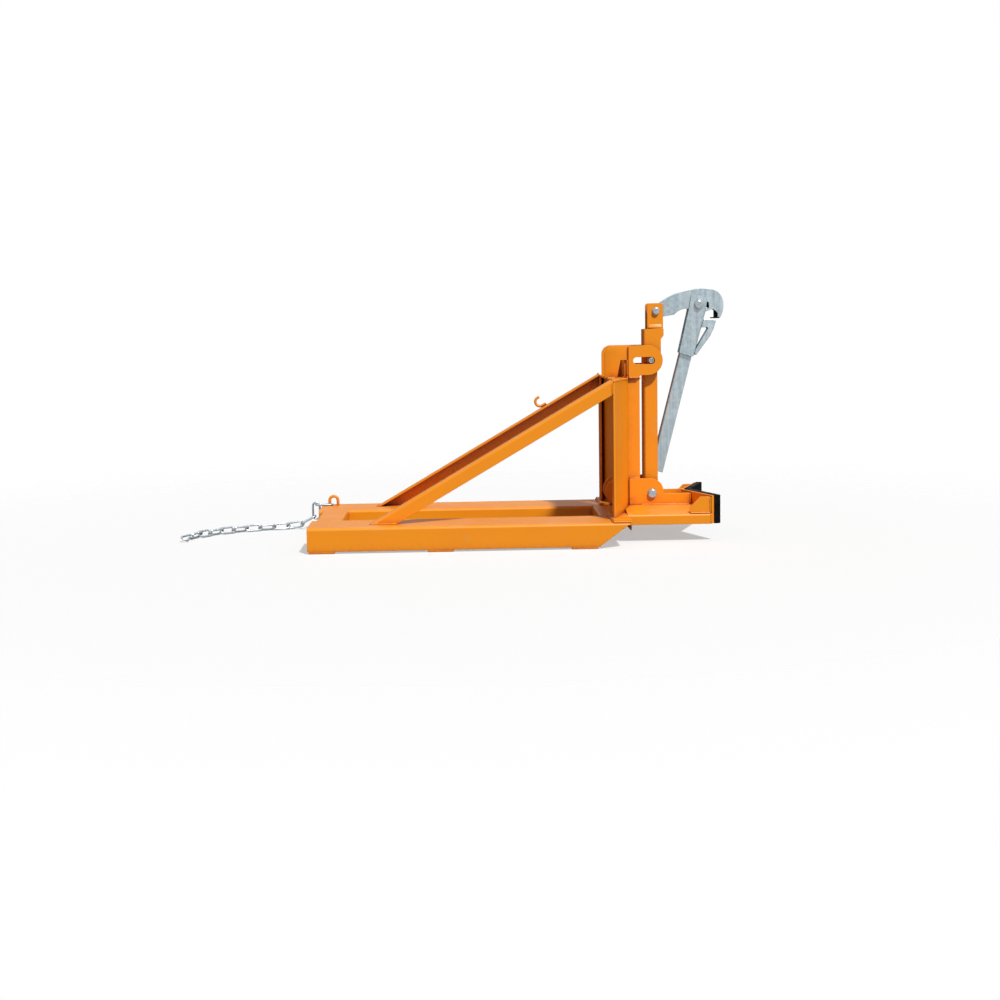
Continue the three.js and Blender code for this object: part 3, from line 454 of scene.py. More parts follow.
def scratches_group():
    """Thin scratches in two directions."""
    group, inputs, outputs = new_group("scratches", {"Amount": 0.4, "Scale": 30.0}, ["Mask"])
    place = object_place(group)
    lines = []
    for turn, shift in ((0.5, 0.0), (-0.9, 3.1)):
        drawn = node(group, "ShaderNodeMapping", {
            "Vector": place, "Location": (shift, shift, 0.0), "Rotation": (turn, 0.4 * turn, turn),
            "Scale": (1.0, 26.0, 1.2)})
        thin = noise(group, drawn.outputs[0], inputs["Scale"], 2.0, 0.4)
        lines.append(ramp(group, thin, 0.69, 0.73))
    both = maths(group, "MAXIMUM", *lines)
    places = ramp(group, noise(group, place, 9.0, 2.0), 0.48, 0.62)
    kept = maths(group, "MULTIPLY", both, places)
    group.links.new(maths(group, "MULTIPLY", kept, inputs["Amount"]), outputs["Mask"])
    return group


def spangle_group():
    """Zinc crystals: a shade for each crystal and the faint lines between them."""
    group, inputs, outputs = new_group("spangle", {"Scale": 110.0}, ["Shade", "Edge"])
    place = object_place(group)
    wander = noise(group, place, 60.0, 2.0)
    shift = node(group, "ShaderNodeCombineXYZ", {0: maths(group, "MULTIPLY", wander, 0.006)}).outputs[0]
    bent = node(group, "ShaderNodeVectorMath", {0: place, 1: shift}, operation="ADD").outputs[0]
    crystals = node(group, "ShaderNodeTexVoronoi", {"Vector": bent, "Scale": inputs["Scale"]}, feature="F1")
    shade = node(group, "ShaderNodeSeparateColor", {0: crystals.outputs["Color"]}).outputs[0]
    feathers = noise(group, bent, 500.0, 3.0)
    group.links.new(maths(group, "ADD", maths(group, "MULTIPLY", shade, 0.8),
                          maths(group, "MULTIPLY", feathers, 0.2)), outputs["Shade"])
    borders = node(group, "ShaderNodeTexVoronoi", {"Vector": bent, "Scale": inputs["Scale"]},
                   feature="DISTANCE_TO_EDGE").outputs["Distance"]
    group.links.new(maths(group, "SUBTRACT", 1.0, ramp(group, borders, 0.0, 0.08)), outputs["Edge"])
    return group


def grouped(tree, group_name, inputs=None):
    """One of the shared effects, placed in a material with its own values."""
    makers = {"edge_rub": edge_rub_group, "corner_shade_and_grime": corner_shade_and_grime_group, "spangle": spangle_group,
              "settled_dust": settled_dust_group, "scratches": scratches_group}
    shared = bpy.data.node_groups.get(group_name) or makers[group_name]()
    return node(tree, "ShaderNodeGroup", inputs, node_tree=shared).outputs


def blank_material(name):
    """A material with one Principled shader, and its tree and shader."""
    made = bpy.data.materials.new(name)
    made.use_nodes = True
    tree = made.node_tree
    return made, tree, tree.nodes["Principled BSDF"]


def bumped(tree, shader, *layers):
    """Feeds the shader's normal from layers of (height, distance in metres, strength)."""
    normal = None
    for height, distance, strength in layers:
        bump = node(tree, "ShaderNodeBump", {"Height": height, "Distance": distance, "Strength": strength})
        if normal is not None:
            tree.links.new(normal, bump.inputs["Normal"])
        normal = bump.outputs["Normal"]
    tree.links.new(normal, shader.inputs["Normal"])


def paint_material(finish):
    """Satin orange paint on steel, a little dusty, rubbed through on the outer edges."""
    material, tree, shader = blank_material("painted_steel")
    place = object_place(tree)
    clouds = noise(tree, place, 5.0, 4.0, 0.55)
    paint = tuple(finish.paint)
    deeper = (paint[0] * 0.92, paint[1] * 0.86, paint[2] * 0.8, 1)
    body = mixed(tree, maths(tree, "MULTIPLY", ramp(tree, clouds, 0.35, 0.75), 0.4), paint, deeper)
    # Painted shade: occluded inner corners are painted deep red, the colour this paint takes in shade
    shade_and_grime = grouped(tree, "corner_shade_and_grime", {"Reach": 0.04, "Amount": 0.85})["Mask"]
    in_shade = mixed(tree, shade_and_grime, body, (0.27, 0.014, 0.012, 1))
    dust = grouped(tree, "settled_dust", {"Amount": 0.24})["Mask"]
    dusty = mixed(tree, dust, in_shade, (0.70, 0.52, 0.36, 1))
    scratch = grouped(tree, "scratches", {"Amount": 0.2, "Scale": 24.0})["Mask"]
    marked = mixed(tree, scratch, dusty, (0.60, 0.30, 0.10, 1))
    rub = grouped(tree, "edge_rub", {"Reach": 0.0016, "Amount": 0.55, "Scale": 70.0})["Mask"]
    rough = maths(tree, "ADD", maths(tree, "MULTIPLY", clouds, 0.14), finish.paint_roughness - 0.07)
    marks = maths(tree, "MULTIPLY", maths(tree, "MAXIMUM", scratch, dust), 0.35)
    feed(tree, shader, {
        "Base Color": mixed(tree, rub, marked, (0.40, 0.30, 0.22, 1)),
        "Metallic": maths(tree, "MULTIPLY", rub, 0.4),
        "Roughness": maths(tree, "ADD", rough, marks, clamp=True),
        "Specular IOR Level": 0.42})
    bumped(tree, shader,
           (noise(tree, place, 380.0, 2.0, 0.45), 0.0001, 0.35),
           (noise(tree, place, 46.0, 2.0, 0.4), 0.0006, 0.12),
           (maths(tree, "SUBTRACT", 1.0, maths(tree, "MAXIMUM", scratch, rub)), 0.0002, 0.5))
    return material


def galvanised_material(finish):
    """Hot-dip galvanised steel with crystals, run marks and dull patches."""
    material, tree, shader = blank_material("galvanised_sheet")
    place = object_place(tree)
    crystals = grouped(tree, "spangle", {"Scale": 1.0 / finish.spangle})
    zinc = tuple(finish.galvanised)
    darker = tuple(c * 0.93 for c in zinc[:3]) + (1,)
    lighter = tuple(min(1.0, c * 1.06) for c in zinc[:3]) + (1,)
    body = mixed(tree, crystals["Shade"], darker, lighter)
    runs = node(tree, "ShaderNodeMapping", {
        "Vector": place, "Rotation": (0.0, -0.26, 0.0), "Scale": (1.0, 1.0, 0.03)})
    streaks = ramp(tree, noise(tree, runs.outputs[0], 130.0, 2.0, 0.5), 0.42, 0.66)
    streaked = mixed(tree, maths(tree, "MULTIPLY", streaks, 0.5), body, (0.66, 0.72, 0.76, 1))
    dull = ramp(tree, noise(tree, place, 14.0, 3.0, 0.5), 0.5, 0.75)
    clouded = mixed(tree, maths(tree, "MULTIPLY", dull, 0.14), streaked, (0.34, 0.39, 0.42, 1))
    # Painted shade with grime: occluded inner corners are darkened towards dark grey
    shade_and_grime = grouped(tree, "corner_shade_and_grime", {"Reach": 0.008, "Amount": 0.5})["Mask"]
    rough = maths(tree, "ADD", maths(tree, "MULTIPLY", crystals["Shade"], 0.12), 0.32)
    feed(tree, shader, {
        "Base Color": mixed(tree, shade_and_grime, clouded, (0.10, 0.11, 0.12, 1)),
        "Metallic": 0.78,
        "Roughness": maths(tree, "ADD", rough, maths(tree, "MULTIPLY", dull, 0.14))})
    bumped(tree, shader,
           (crystals["Shade"], 0.00006, 0.25),
           (crystals["Edge"], 0.00005, 0.3),
           (noise(tree, place, 75.0, 3.0, 0.5), 0.0004, 0.12))
    return material


def zinc_material(finish, name, scale, shine):
    """Bright zinc plate with fine working marks."""
    material, tree, shader = blank_material(name)
    place = object_place(tree)
    patches = noise(tree, place, scale, 4.0, 0.6)
    zinc = tuple(finish.zinc)
    darker = tuple(c * 0.72 for c in zinc[:3]) + (1,)
    body = mixed(tree, ramp(tree, patches, 0.35, 0.68), darker, zinc)
    # Painted shade with grime: occluded inner corners are darkened towards near black
    shade_and_grime = grouped(tree, "corner_shade_and_grime", {"Reach": 0.004, "Amount": 0.65, "Scale": 150.0})["Mask"]
    scratch = grouped(tree, "scratches", {"Amount": 0.5, "Scale": 70.0})["Mask"]
    rough = maths(tree, "ADD", maths(tree, "MULTIPLY", patches, 0.22), shine)
    feed(tree, shader, {
        "Base Color": mixed(tree, shade_and_grime, body, (0.09, 0.085, 0.08, 1)),
        "Metallic": 0.88,
        "Roughness": maths(tree, "ADD", rough, maths(tree, "MULTIPLY", scratch, 0.25))})
    bumped(tree, shader,
           (noise(tree, place, 520.0, 2.0, 0.5), 0.00005, 0.3),
           (maths(tree, "SUBTRACT", 1.0, scratch), 0.0001, 0.4))
    return material


def rubber_material(finish):
    """Black rubber with a fine moulded grain, chalky where it rubs."""
    material, tree, shader = blank_material("moulded_rubber")
    place = object_place(tree)
    clouds = noise(tree, place, 34.0, 5.0, 0.6)
    rub = grouped(tree, "edge_rub", {"Reach": 0.003, "Amount": 0.6, "Scale": 60.0})["Mask"]
    body = mixed(tree, ramp(tree, clouds, 0.4, 0.75), tuple(finish.rubber), (0.008, 0.008, 0.009, 1))
    dust = grouped(tree, "settled_dust", {"Amount": 0.35, "Scale": 30.0})["Mask"]
    dusty = mixed(tree, dust, body, (0.20, 0.17, 0.15, 1))
    feed(tree, shader, {
        "Base Color": mixed(tree, maths(tree, "MULTIPLY", rub, 0.4), dusty, (0.09, 0.09, 0.09, 1)),
        "Roughness": maths(tree, "ADD", maths(tree, "MULTIPLY", clouds, 0.25), 0.5),
        "Specular IOR Level": 0.05})
    bumped(tree, shader,
           (noise(tree, place, 900.0, 2.0, 0.6), 0.0001, 0.5),
           (noise(tree, place, 120.0, 3.0, 0.5), 0.0003, 0.25))
    return material


def finish_for(name):
    """The material of one of the finishes, made when it is first asked for."""
    material, maker = {
        "orange_paint": ("painted_steel", paint_material),
        "galvanised_steel": ("galvanised_sheet", galvanised_material),
        "zinc_bolt": ("plated_bolts", lambda finish: zinc_material(finish, "plated_bolts", 240.0, 0.2)),
        "chain": ("plated_chain", lambda finish: zinc_material(finish, "plated_chain", 130.0, 0.24)),
        "black_rubber": ("moulded_rubber", rubber_material),
    }[name]
    return bpy.data.materials.get(material) or maker(bpy.context.scene.clamp_finish)


# ---------------------------------------------------------------- weld beads

def bead_line(start, end, ripple):
    """Spots along a straight run, two for each ripple, with the bead's width at each."""
    length = (end - start).length
    steps = max(4, 2 * round(length / ripple))
    spots = []
    for i in range(steps + 1):
        along = start.lerp(end, i / steps)
        swell = 0.80 if i % 2 else 1.0
        wobble = 0.06 * math.sin(1.7 * i) + 0.04 * math.sin(0.61 * i + 1.0)
        spots.append((along, swell + wobble))
    spots[0] = (start, 0.45)
    spots[-1] = (end, 0.45)
    return spots


def weld_beads(name, runs, body, scale=1.0):
    """Painted weld beads along runs from one drawing spot to another, as one piece."""
    edges = bpy.context.scene.clamp_edges
    paths = [bead_line(at(*start), at(*end), edges.ripple) for start, end in runs]
    hand_over(round_bars(name, paths, edges.bead * scale, 1, 60), body, "orange_paint")


def seam(side, x, y, z):
    """A run on one side, where each of x, y and z is one place or a pair from start to end."""
    pairs = [place if isinstance(place, tuple) else (place, place) for place in (x, y, z)]
    return [(along, side * across, up) for along, across, up in zip(*pairs)]


def brace_height(x, below=0.0):
    """Height of the brace's upper face, or of a line below it, at a place along the clamp."""
    return BRACE_TOP[1] + BRACE_RISE * (x - BRACE_TOP[0]) - below * math.hypot(1, BRACE_RISE)


# ---------------------------------------------------------------- operators

class CLAMP_OT_channels(bpy.types.Operator):
    """Eases the long channels, their straps and the two cross members"""

    bl_idname = "clamp.channels"
    bl_label = "Channels"

    def execute(self, context):
        edge = context.scene.clamp_edges.plate
        for side in SIDES:
            eased(f"{side}_pocket", edge)
            for number in (1, 2, 3):
                eased(f"{side}_strap_{number}", edge)
        for member in ("rear_cross_member", "front_cross_member"):
            eased(member, edge)
        return {"FINISHED"}


class CLAMP_OT_mast(bpy.types.Operator):
    """Eases the folded mast with its cap, feet, stays, ears and raking braces"""

    bl_idname = "clamp.mast"
    bl_label = "Mast and braces"

    def execute(self, context):
        edge = context.scene.clamp_edges.plate
        for side in SIDES:
            for plate in ("mast_side", "brace", "foot_plate", "upper_stay", "lower_stay", "slotted_ear"):
                eased(f"{side}_{plate}", edge)
        eased("mast_cap", edge)
        self.cut_relief(bpy.data.objects["near_upper_stay_eased"])
        self.stay_web(edge)
        return {"FINISHED"}

    def cut_relief(self, stay):
        """Cuts the sloping relief out of the near stay, open at the cap."""
        cutter = block(RELIEF_X, RELIEF_Y, RELIEF_Z)
        middle = at(sum(RELIEF_X) / 2, 0, sum(RELIEF_Z) / 2)
        with editing():
            select_elements(cutter, "VERT", lambda vert: vert.co.x < middle.x and vert.co.z > middle.z)
            bpy.ops.transform.translate(value=(RELIEF_SHOULDER / 1000, 0, 0))
        combine(stay, cutter, "DIFFERENCE")

    def stay_web(self, edge):
        """The plate across the cap that ties the two stays together."""
        web = block(WEB_X, WEB_Y, WEB_Z)
        web.name = "stay_web"
        web.data.name = "stay_web"
        round_edges(web, edge)
        hand_over(web, "frame", "orange_paint")


class CLAMP_OT_cradle(bpy.types.Operator):
    """Eases the saddle arm, the V cradle with its gussets and the rubber pads"""

    bl_idname = "clamp.cradle"
    bl_label = "Cradle"

    def execute(self, context):
        edges = context.scene.clamp_edges
        for part in ("saddle_arm", "cradle_plate"):
            eased(part, edges.plate)
        for side in SIDES:
            eased(f"{side}_pivot_cheek", edges.plate)
            eased(f"{side}_cradle_gusset", edges.plate)
            eased(f"{side}_cradle_pad", edges.rubber, "black_rubber", 3)
        return {"FINISHED"}


class CLAMP_OT_upright(bpy.types.Operator):
    """Eases the swinging upright and the plates at its head"""

    bl_idname = "clamp.upright"
    bl_label = "Upright"

    def execute(self, context):
        for part in ("upright", "near_head_plate", "far_head_plate"):
            eased(part, context.scene.clamp_edges.plate)
        for name, side in SIDES.items():
            self.head_fillet(f"{name}_head_fillet", side)
        return {"FINISHED"}

    def head_fillet(self, name, side):
        """The sloping fillet that fills the step from the upright to a head plate."""
        fillet = block(FILLET_X, sorted(side * y for y in FILLET_Y), FILLET_Z)
        middle = at(sum(FILLET_X) / 2, side * FILLET_Y[0], FILLET_Z[1])
        with editing():
            select_elements(fillet, "VERT", lambda vert: vert.co.z > middle.z - 1e-6)
            bpy.ops.transform.resize(value=(0.9, 0.12, 1), center_override=middle)
            select_elements(fillet, "EDGE", lambda edge: all(
                abs(vert.co.y) > abs(middle.y) + 0.0001 for vert in edge.verts))
            bpy.ops.mesh.bevel(offset=0.0016, segments=3, affect="EDGES")
        fillet.name = name
        bpy.ops.object.shade_smooth_by_angle(angle=math.radians(50))
        hand_over(fillet, "upright", "orange_paint")


class CLAMP_OT_beak(bpy.types.Operator):
    """Eases the beak's plates, its rubber tooth, the lever, its bar and the lower catch"""

    bl_idname = "clamp.beak"
    bl_label = "Beak and lever"

    def execute(self, context):
        edges = context.scene.clamp_edges
        for part in ("near_jaw_plate", "far_jaw_plate", "lever_channel", "lever_bar", "lower_catch"):
            eased(part, edges.sheet, "galvanised_steel", 3)
        eased("jaw_tooth", edges.plate, "black_rubber")
        return {"FINISHED"}


def turned(radius, low, high, sides=40, chamfer=0.0, ends=("low", "high")):
    """A turned disc or bar about the Y axis, chamfered at the named ends, in millimetres."""
    piece = new_primitive(
        bpy.ops.mesh.primitive_cylinder_add, vertices=sides, radius=radius / 1000, depth=(high - low) / 1000,
        location=(0, (low + high) / 2000, 0), rotation=(math.pi / 2, 0, 0))
    settle(piece)
    if chamfer > 0:
        faces = [y / 1000 for y, end in ((low, "low"), (high, "high")) if end in ends]
        with editing():
            select_elements(piece, "EDGE", lambda edge: any(
                all(abs(vert.co.y - y) < 1e-6 for vert in edge.verts) for y in faces))
            bpy.ops.mesh.bevel(offset=chamfer / 1000, segments=1, affect="EDGES")
    return piece


def cone_ends(piece, radius, low, high, ends, width):
    """Gives a turned blank wide, shallow cones at the named ends, as on a bolt head."""
    share = (radius - width) / radius
    beyond = (radius - width / 2) / 1000
    for y, name, inward in ((low, "low", 1), (high, "high", -1)):
        if name not in ends:
            continue
        with editing():
            select_elements(piece, "FACE", lambda face, y=y: all(
                abs(vert.co.y - y / 1000) < 1e-6 for vert in face.verts))
            bpy.ops.mesh.extrude_region_move()
            bpy.ops.transform.resize(value=(share, 1, share), center_override=(0, y / 1000, 0))
            select_elements(piece, "VERT", lambda vert, y=y: (
                abs(vert.co.y - y / 1000) < 1e-6 and math.hypot(vert.co.x, vert.co.z) > beyond))
            bpy.ops.transform.translate(value=(0, inward * width * CONE_SLOPE / 1000, 0))


def combine(piece, tool, operation):
    """Cuts a piece with another, or keeps what both fill."""
    apply_modifier(piece, "BOOLEAN", operation=operation, object=tool, solver="EXACT")
    bpy.data.objects.remove(tool)


def hexagon(radius, low, high, ends):
    """A hexagon head or nut about the Y axis, with the round chamfer that turning leaves."""
    blank = turned(radius, low, high, 60)
    cone_ends(blank, radius, low, high, ends, radius * 0.19)
    prism = turned(radius, low - 1, high + 1, 6)
    combine(prism, blank, "INTERSECT")
    return prism


def slot_pin():
    """The round pin of the slots, with a hexagon socket in each end."""
    pin = turned(PIN_RADIUS, -PIN_REACH, PIN_REACH, 48, 0.9)
    for side in SIDES.values():
        socket = sorted((side * (PIN_REACH - PIN_SOCKET_DEPTH), side * (PIN_REACH + 1)))
        combine(pin, turned(PIN_SOCKET, *socket, 6), "DIFFERENCE")
    return join([pin], "slot_bolt_turned")


def pin_collars():
    """The painted collars that keep the pin in the middle of its slots."""
    collars = [
        turned(PIN_COLLAR, *sorted(side * y for y in PIN_COLLAR_Y), 48, 0.8) for side in SIDES.values()]
    return join(collars, "slot_bolt_collars")


def threaded(radius, low, high):
    """The threaded end of a bolt about the Y axis."""
    turns = max(2, round((high - low) / THREAD_PITCH))
    piece = turned(radius, low, high, 32)
    with editing():
        for i in range(1, 2 * turns):
            height = (low + (high - low) * i / (2 * turns)) / 1000
            bpy.ops.mesh.select_all(action="SELECT")
            bpy.ops.mesh.bisect(plane_co=(0, height, 0), plane_no=(0, 1, 0))
            if i % 2:
                bpy.ops.transform.resize(value=(0.88, 1, 0.88), center_override=(0, height, 0))
        select_elements(piece, "VERT", lambda vert: abs(vert.co.y - high / 1000) < 1e-6)
        bpy.ops.transform.resize(value=(0.8, 1, 0.8), center_override=(0, high / 1000, 0))
    return piece


def bolt_parts(size):
    outer = size["grip"] + WASHER
    parts = [
        turned(size["shank"], -outer, outer, 40),
        hexagon(size["head"], -outer - size["height"], -outer, ("low",)),
        hexagon(size["head"], outer, outer + size["height"], ("low", "high")),
        threaded(size["shank"] * 0.98, outer + size["height"] - 0.5, outer + size["height"] + THREAD_END),
    ]
    for side in SIDES.values():
        washer = sorted((side * size["grip"], side * outer))
        sleeve = sorted(side * y for y in size["sleeve_y"])
        parts.append(turned(size["washer"], *washer, 48, 0.35))
        parts.append(turned(size["sleeve"], *sleeve, 40, 0.3))
    return parts


class CLAMP_OT_bolts(bpy.types.Operator):
    """Models the three cross bolts with heads, nuts, washers and sleeves, and the pin of the slots"""

    bl_idname = "clamp.bolts"
    bl_label = "Bolts"

    def execute(self, context):
        for name, size in BOLTS.items():
            bolt = join(bolt_parts(size), f"{name}_turned")
            self.set_in_place(bolt, size["spot"])
            hand_over(bolt, size["body"], "zinc_bolt", name)
        pin, collars = slot_pin(), pin_collars()
        for piece in (pin, collars):
            self.set_in_place(piece, PIN_SPOT)
        hand_over(pin, "upright", "zinc_bolt", "slot_bolt")
        hand_over(collars, "upright", "orange_paint")
        return {"FINISHED"}

    def set_in_place(self, piece, spot):
        piece.location = at(spot[0], 0, spot[1])
        settle(piece)
        round_edges(piece, 0.00018, 1)


def swept_bar(name, spots, radius, widths=None):
    """A bar of a radius in millimetres bent along places, each with its share of the radius."""
    widths = widths or [1.0] * len(spots)
    return round_bars(name, [list(zip(spots, widths))], radius / 1000, 4, 50)


def arc(centre, radius, start, end, steps):
    """Spots on a circle in a plane, from one angle to another, in radians."""
    turns = [start + (end - start) * i / steps for i in range(steps + 1)]
    return [(centre[0] + radius * math.cos(t), centre[1] + radius * math.sin(t)) for t in turns]


class CLAMP_OT_fixed_hooks(bpy.types.Operator):
    """Bends the chain eye on the far channel and the open hook on the far brace"""

    bl_idname = "clamp.fixed_hooks"
    bl_label = "Eye and hook"

    def execute(self, context):
        rear, front = EYE_X
        bow = arc(((rear + front) / 2, EYE_BOW_Z), (front - rear) / 2, math.pi, 0, 18)
        legs = [(rear, z) for z in EYE_LEG_Z] + bow + [(front, z) for z in reversed(EYE_LEG_Z)]
        eye = swept_bar("chain_eye_bent", [at(x, EYE_Y, z) for x, z in legs], EYE_WIRE)
        hand_over(eye, "frame", "orange_paint", "chain_eye")
        slope = math.atan(BRACE_RISE)
        x, y, z = BRACE_HOOK_SPOT
        rise, bend = BRACE_HOOK_RISE, BRACE_HOOK_BEND
        turned_back = arc((-15, rise + bend), bend, -math.pi / 2, -1.5 * math.pi, 18)
        path = [(0, rise), (-6, rise), (-12, rise), *turned_back, (-9, rise + 2 * bend)]
        spots = [at(x + u * math.cos(slope) - n * math.sin(slope), y,
                    z + u * math.sin(slope) + n * math.cos(slope)) for u, n in path]
        hook = swept_bar("brace_hook_bent", spots, BRACE_HOOK_WIRE)
        hand_over(hook, "frame", "orange_paint", "brace_hook")
        return {"FINISHED"}


class CLAMP_OT_chain(bpy.types.Operator):
    """Models one welded chain link and sets a copy in the place of each link of the chain"""

    bl_idname = "clamp.chain"
    bl_label = "Chain"

    def model_link(self):
        ring = new_primitive(
            bpy.ops.mesh.primitive_torus_add, major_segments=44, minor_segments=14,
            major_radius=LINK_CROWN / 1000, minor_radius=LINK_WIRE / 1000)
        with editing():
            for side in (-1, 1):
                select_elements(ring, "VERT", lambda vert, side=side: vert.co.x * side > 1e-5)
                bpy.ops.transform.translate(value=(side * LINK_HALF_STRAIGHT / 1000, 0, 0))
        weld = new_primitive(
            bpy.ops.mesh.primitive_uv_sphere_add, segments=16, ring_count=10, radius=1.0,
            location=(0, LINK_CROWN / 1000, 0), scale=(0.0024, 0.0041, 0.0041))
        link = join([ring, weld], "link_pattern")
        bpy.ops.object.shade_smooth()
        return link

    def own_axes(self, solid):
        """The middle of a link's solid, and its length, width and thickness directions."""
        spots = np.array([vert.co for vert in solid.data.vertices])
        spots = np.unique(spots.round(6), axis=0)
        middle = spots.mean(axis=0)
        _, directions = np.linalg.eigh(np.cov((spots - middle).T))
        along, across = Vector(directions[:, 2]), Vector(directions[:, 1])
        if across.z < 0:
            across.negate()
        return Vector(middle), along, across, along.cross(across)

    def execute(self, context):
        pattern = self.model_link()
        for number in range(1, LINK_COUNT + 1):
            name = f"chain_link_{number:02d}"
            middle, *axes = self.own_axes(frame["nodes"][name])
            turn = Matrix(axes).transposed().to_4x4()
            link = new_object(f"{name}_round", pattern.data.copy())
            link.data.transform(Matrix.Translation(middle) @ turn)
            hand_over(link, name, "chain", name)
        bpy.data.objects.remove(pattern)
        return {"FINISHED"}


class CLAMP_OT_snap_hook(bpy.types.Operator):
    """Bends the snap hook at the end of the chain and models its gate"""

    bl_idname = "clamp.snap_hook"
    bl_label = "Snap hook"

    def hook_place(self):
        """The hook's own plane: along its length, across it and square to it."""
        heading, roll = math.radians(HOOK_HEADING), math.radians(HOOK_ROLL)
        along = Vector((math.cos(heading), math.sin(heading), 0))
        sideways = Vector((-math.sin(heading), math.cos(heading), 0))
        normal = Matrix.Rotation(roll, 3, along) @ sideways
        across = normal.cross(along)
        turn = Matrix((along, across, normal)).transposed().to_4x4()
        return Matrix.Translation(Vector(HOOK_SPOT) / 1000) @ turn

    def bend(self, name, solid, path, radius, widths):
        """A bar bent along spots in the hook's own plane, in the place of a solid."""
        place = self.hook_place()
        spots = [place @ (Vector((x, y, 0)) / 1000) for x, y in path]
        hand_over(swept_bar(name, spots, radius, widths), solid, "chain", solid)

    def execute(self, context):
        nose = (HOOK_LENGTH, HOOK_NOSE - HOOK_EYE)
        eye = arc((0, 0), HOOK_EYE, 0.1 * math.pi, 1.5 * math.pi, 22)
        bowl = arc(nose, HOOK_NOSE, -math.pi / 2, 0.72 * math.pi, 22)
        shank = [(x, -HOOK_EYE) for x in (5, 10, 16, 22, 28, 34, 40)]
        path = eye + shank + bowl
        count = len(path)
        share, middle, reach = HOOK_BULGE
        widths = [1.0 + share * math.exp(-((i - count * middle) / (count * reach)) ** 2)
                  for i in range(count)]
        widths[-1] = HOOK_TIP
        self.bend("snap_hook_bent", "snap_hook", path, HOOK_WIRE, widths)

        start = Vector(GATE_START)
        end = Vector((bowl[-1][0] - GATE_SHORT[0], bowl[-1][1] - GATE_SHORT[1]))
        gate = [start.lerp(end, along) for along in (0, 0.04, 0.1, 0.5, 0.86, 0.94, 1)]
        self.bend("snap_gate_bar", "snap_gate", gate, GATE_RADIUS, [0.55, 0.9, 1.0, 0.86, 1.0, 0.92, 0.6])
        return {"FINISHED"}


class CLAMP_OT_welds(bpy.types.Operator):
    """Lays the painted weld beads along the seams of the frame and of the upright"""

    bl_idname = "clamp.welds"
    bl_label = "Weld beads"

    def channel_runs(self):
        runs = []
        for s in SIDES.values():
            for rear, front, low in CROSS_MEMBERS:
                runs.append(seam(s, (rear, front), 137.4, 77.6))
                runs.append(seam(s, rear - 0.6, 134.2, (low, 76)))
            for middle in STRAP_MIDDLES:
                runs.append(seam(s, (middle - STRAP_HALF_SEAM, middle + STRAP_HALF_SEAM), 331.7, 6.2))
        return runs

    def brace_runs(self):
        foot = BRACE_TOP[0] - (BRACE_TOP[1] - BRACE_FOOT_Z) / BRACE_RISE
        web_foot = foot + BRACE_WEB * math.hypot(1, BRACE_RISE) / BRACE_RISE
        runs = []
        for s in SIDES.values():
            runs += [
                seam(s, foot - 1, (226, 269), 81.3),
                seam(s, (foot, web_foot), 270.8, 81.4),
                seam(s, -78.4, 270.6, (brace_height(-78, 39), 506)),
                seam(s, -79, (227, 268), 517),
            ]
        return runs

    def mast_runs(self):
        runs = [seam(1, -20.8, (-49, 49), CAP_SEAM_Z)]
        for s in SIDES.values():
            cut = s == SIDES["near"]
            stay = (-76, -50 if cut else -21)
            runs += [
                seam(s, (-73, -41), (254, 143), 89),
                seam(s, -84.6, (142, 329), MAST_FOOT_Z),
                seam(s, (-84.4, -28.4), 330.6, MAST_FOOT_Z),
                seam(s, (-77, -14.6), (256, 60), 507.4),
                seam(s, (-7.4, 23), 70.9, CAP_SEAM_Z),
                seam(s, stay, 51.6, CAP_SEAM_Z),
                seam(s, stay, 60.6, CAP_SEAM_Z),
                seam(s, -8.8, 61, (573 if cut else 516, 614)),
                seam(s, -8.4, 62, (106, 187)),
                seam(s, (-7, 27), 61.4, 189.6),
                seam(s, (-9, 26), 53.2, 187.6),
            ]
        return runs

    def behind_cradle(self, y, gap):
        """The place along the clamp at a gap behind the V, at a distance from the middle."""
        return CRADLE_REAR + CRADLE_SLOPE * y - gap

    def cradle_runs(self):
        upper = (self.behind_cradle(71, 1.4), self.behind_cradle(192, 1.4))
        runs = []
        for s in SIDES.values():
            runs += [
                seam(s, (29, 186), 71, 104.8),
                seam(s, 28.8, 60.8, (106, 188)),
                seam(s, 188.4, 71, (106, 139)),
                seam(s, upper, (73, 192), (104.4, 92)),
                seam(s, self.behind_cradle(206, 1.4), 205.4, (58, 88)),
                seam(s, (171, 235), 202.6, 90.4),
                seam(s, (171, 232), 193.4, 91.6),
                seam(s, self.behind_cradle(202, 1.8), 202.6, (92, 139)),
            ]
        return runs

    def execute(self, context):
        weld_beads("channel_welds", self.channel_runs(), "frame")
        weld_beads("brace_welds", self.brace_runs(), "frame")
        weld_beads("mast_welds", self.mast_runs(), "frame")
        weld_beads("cradle_welds", self.cradle_runs(), "frame")
        head = [seam(s, 107.2, 33, (646, 670)) for s in SIDES.values()]
        weld_beads("head_welds", head, "upright", 0.8)
        return {"FINISHED"}


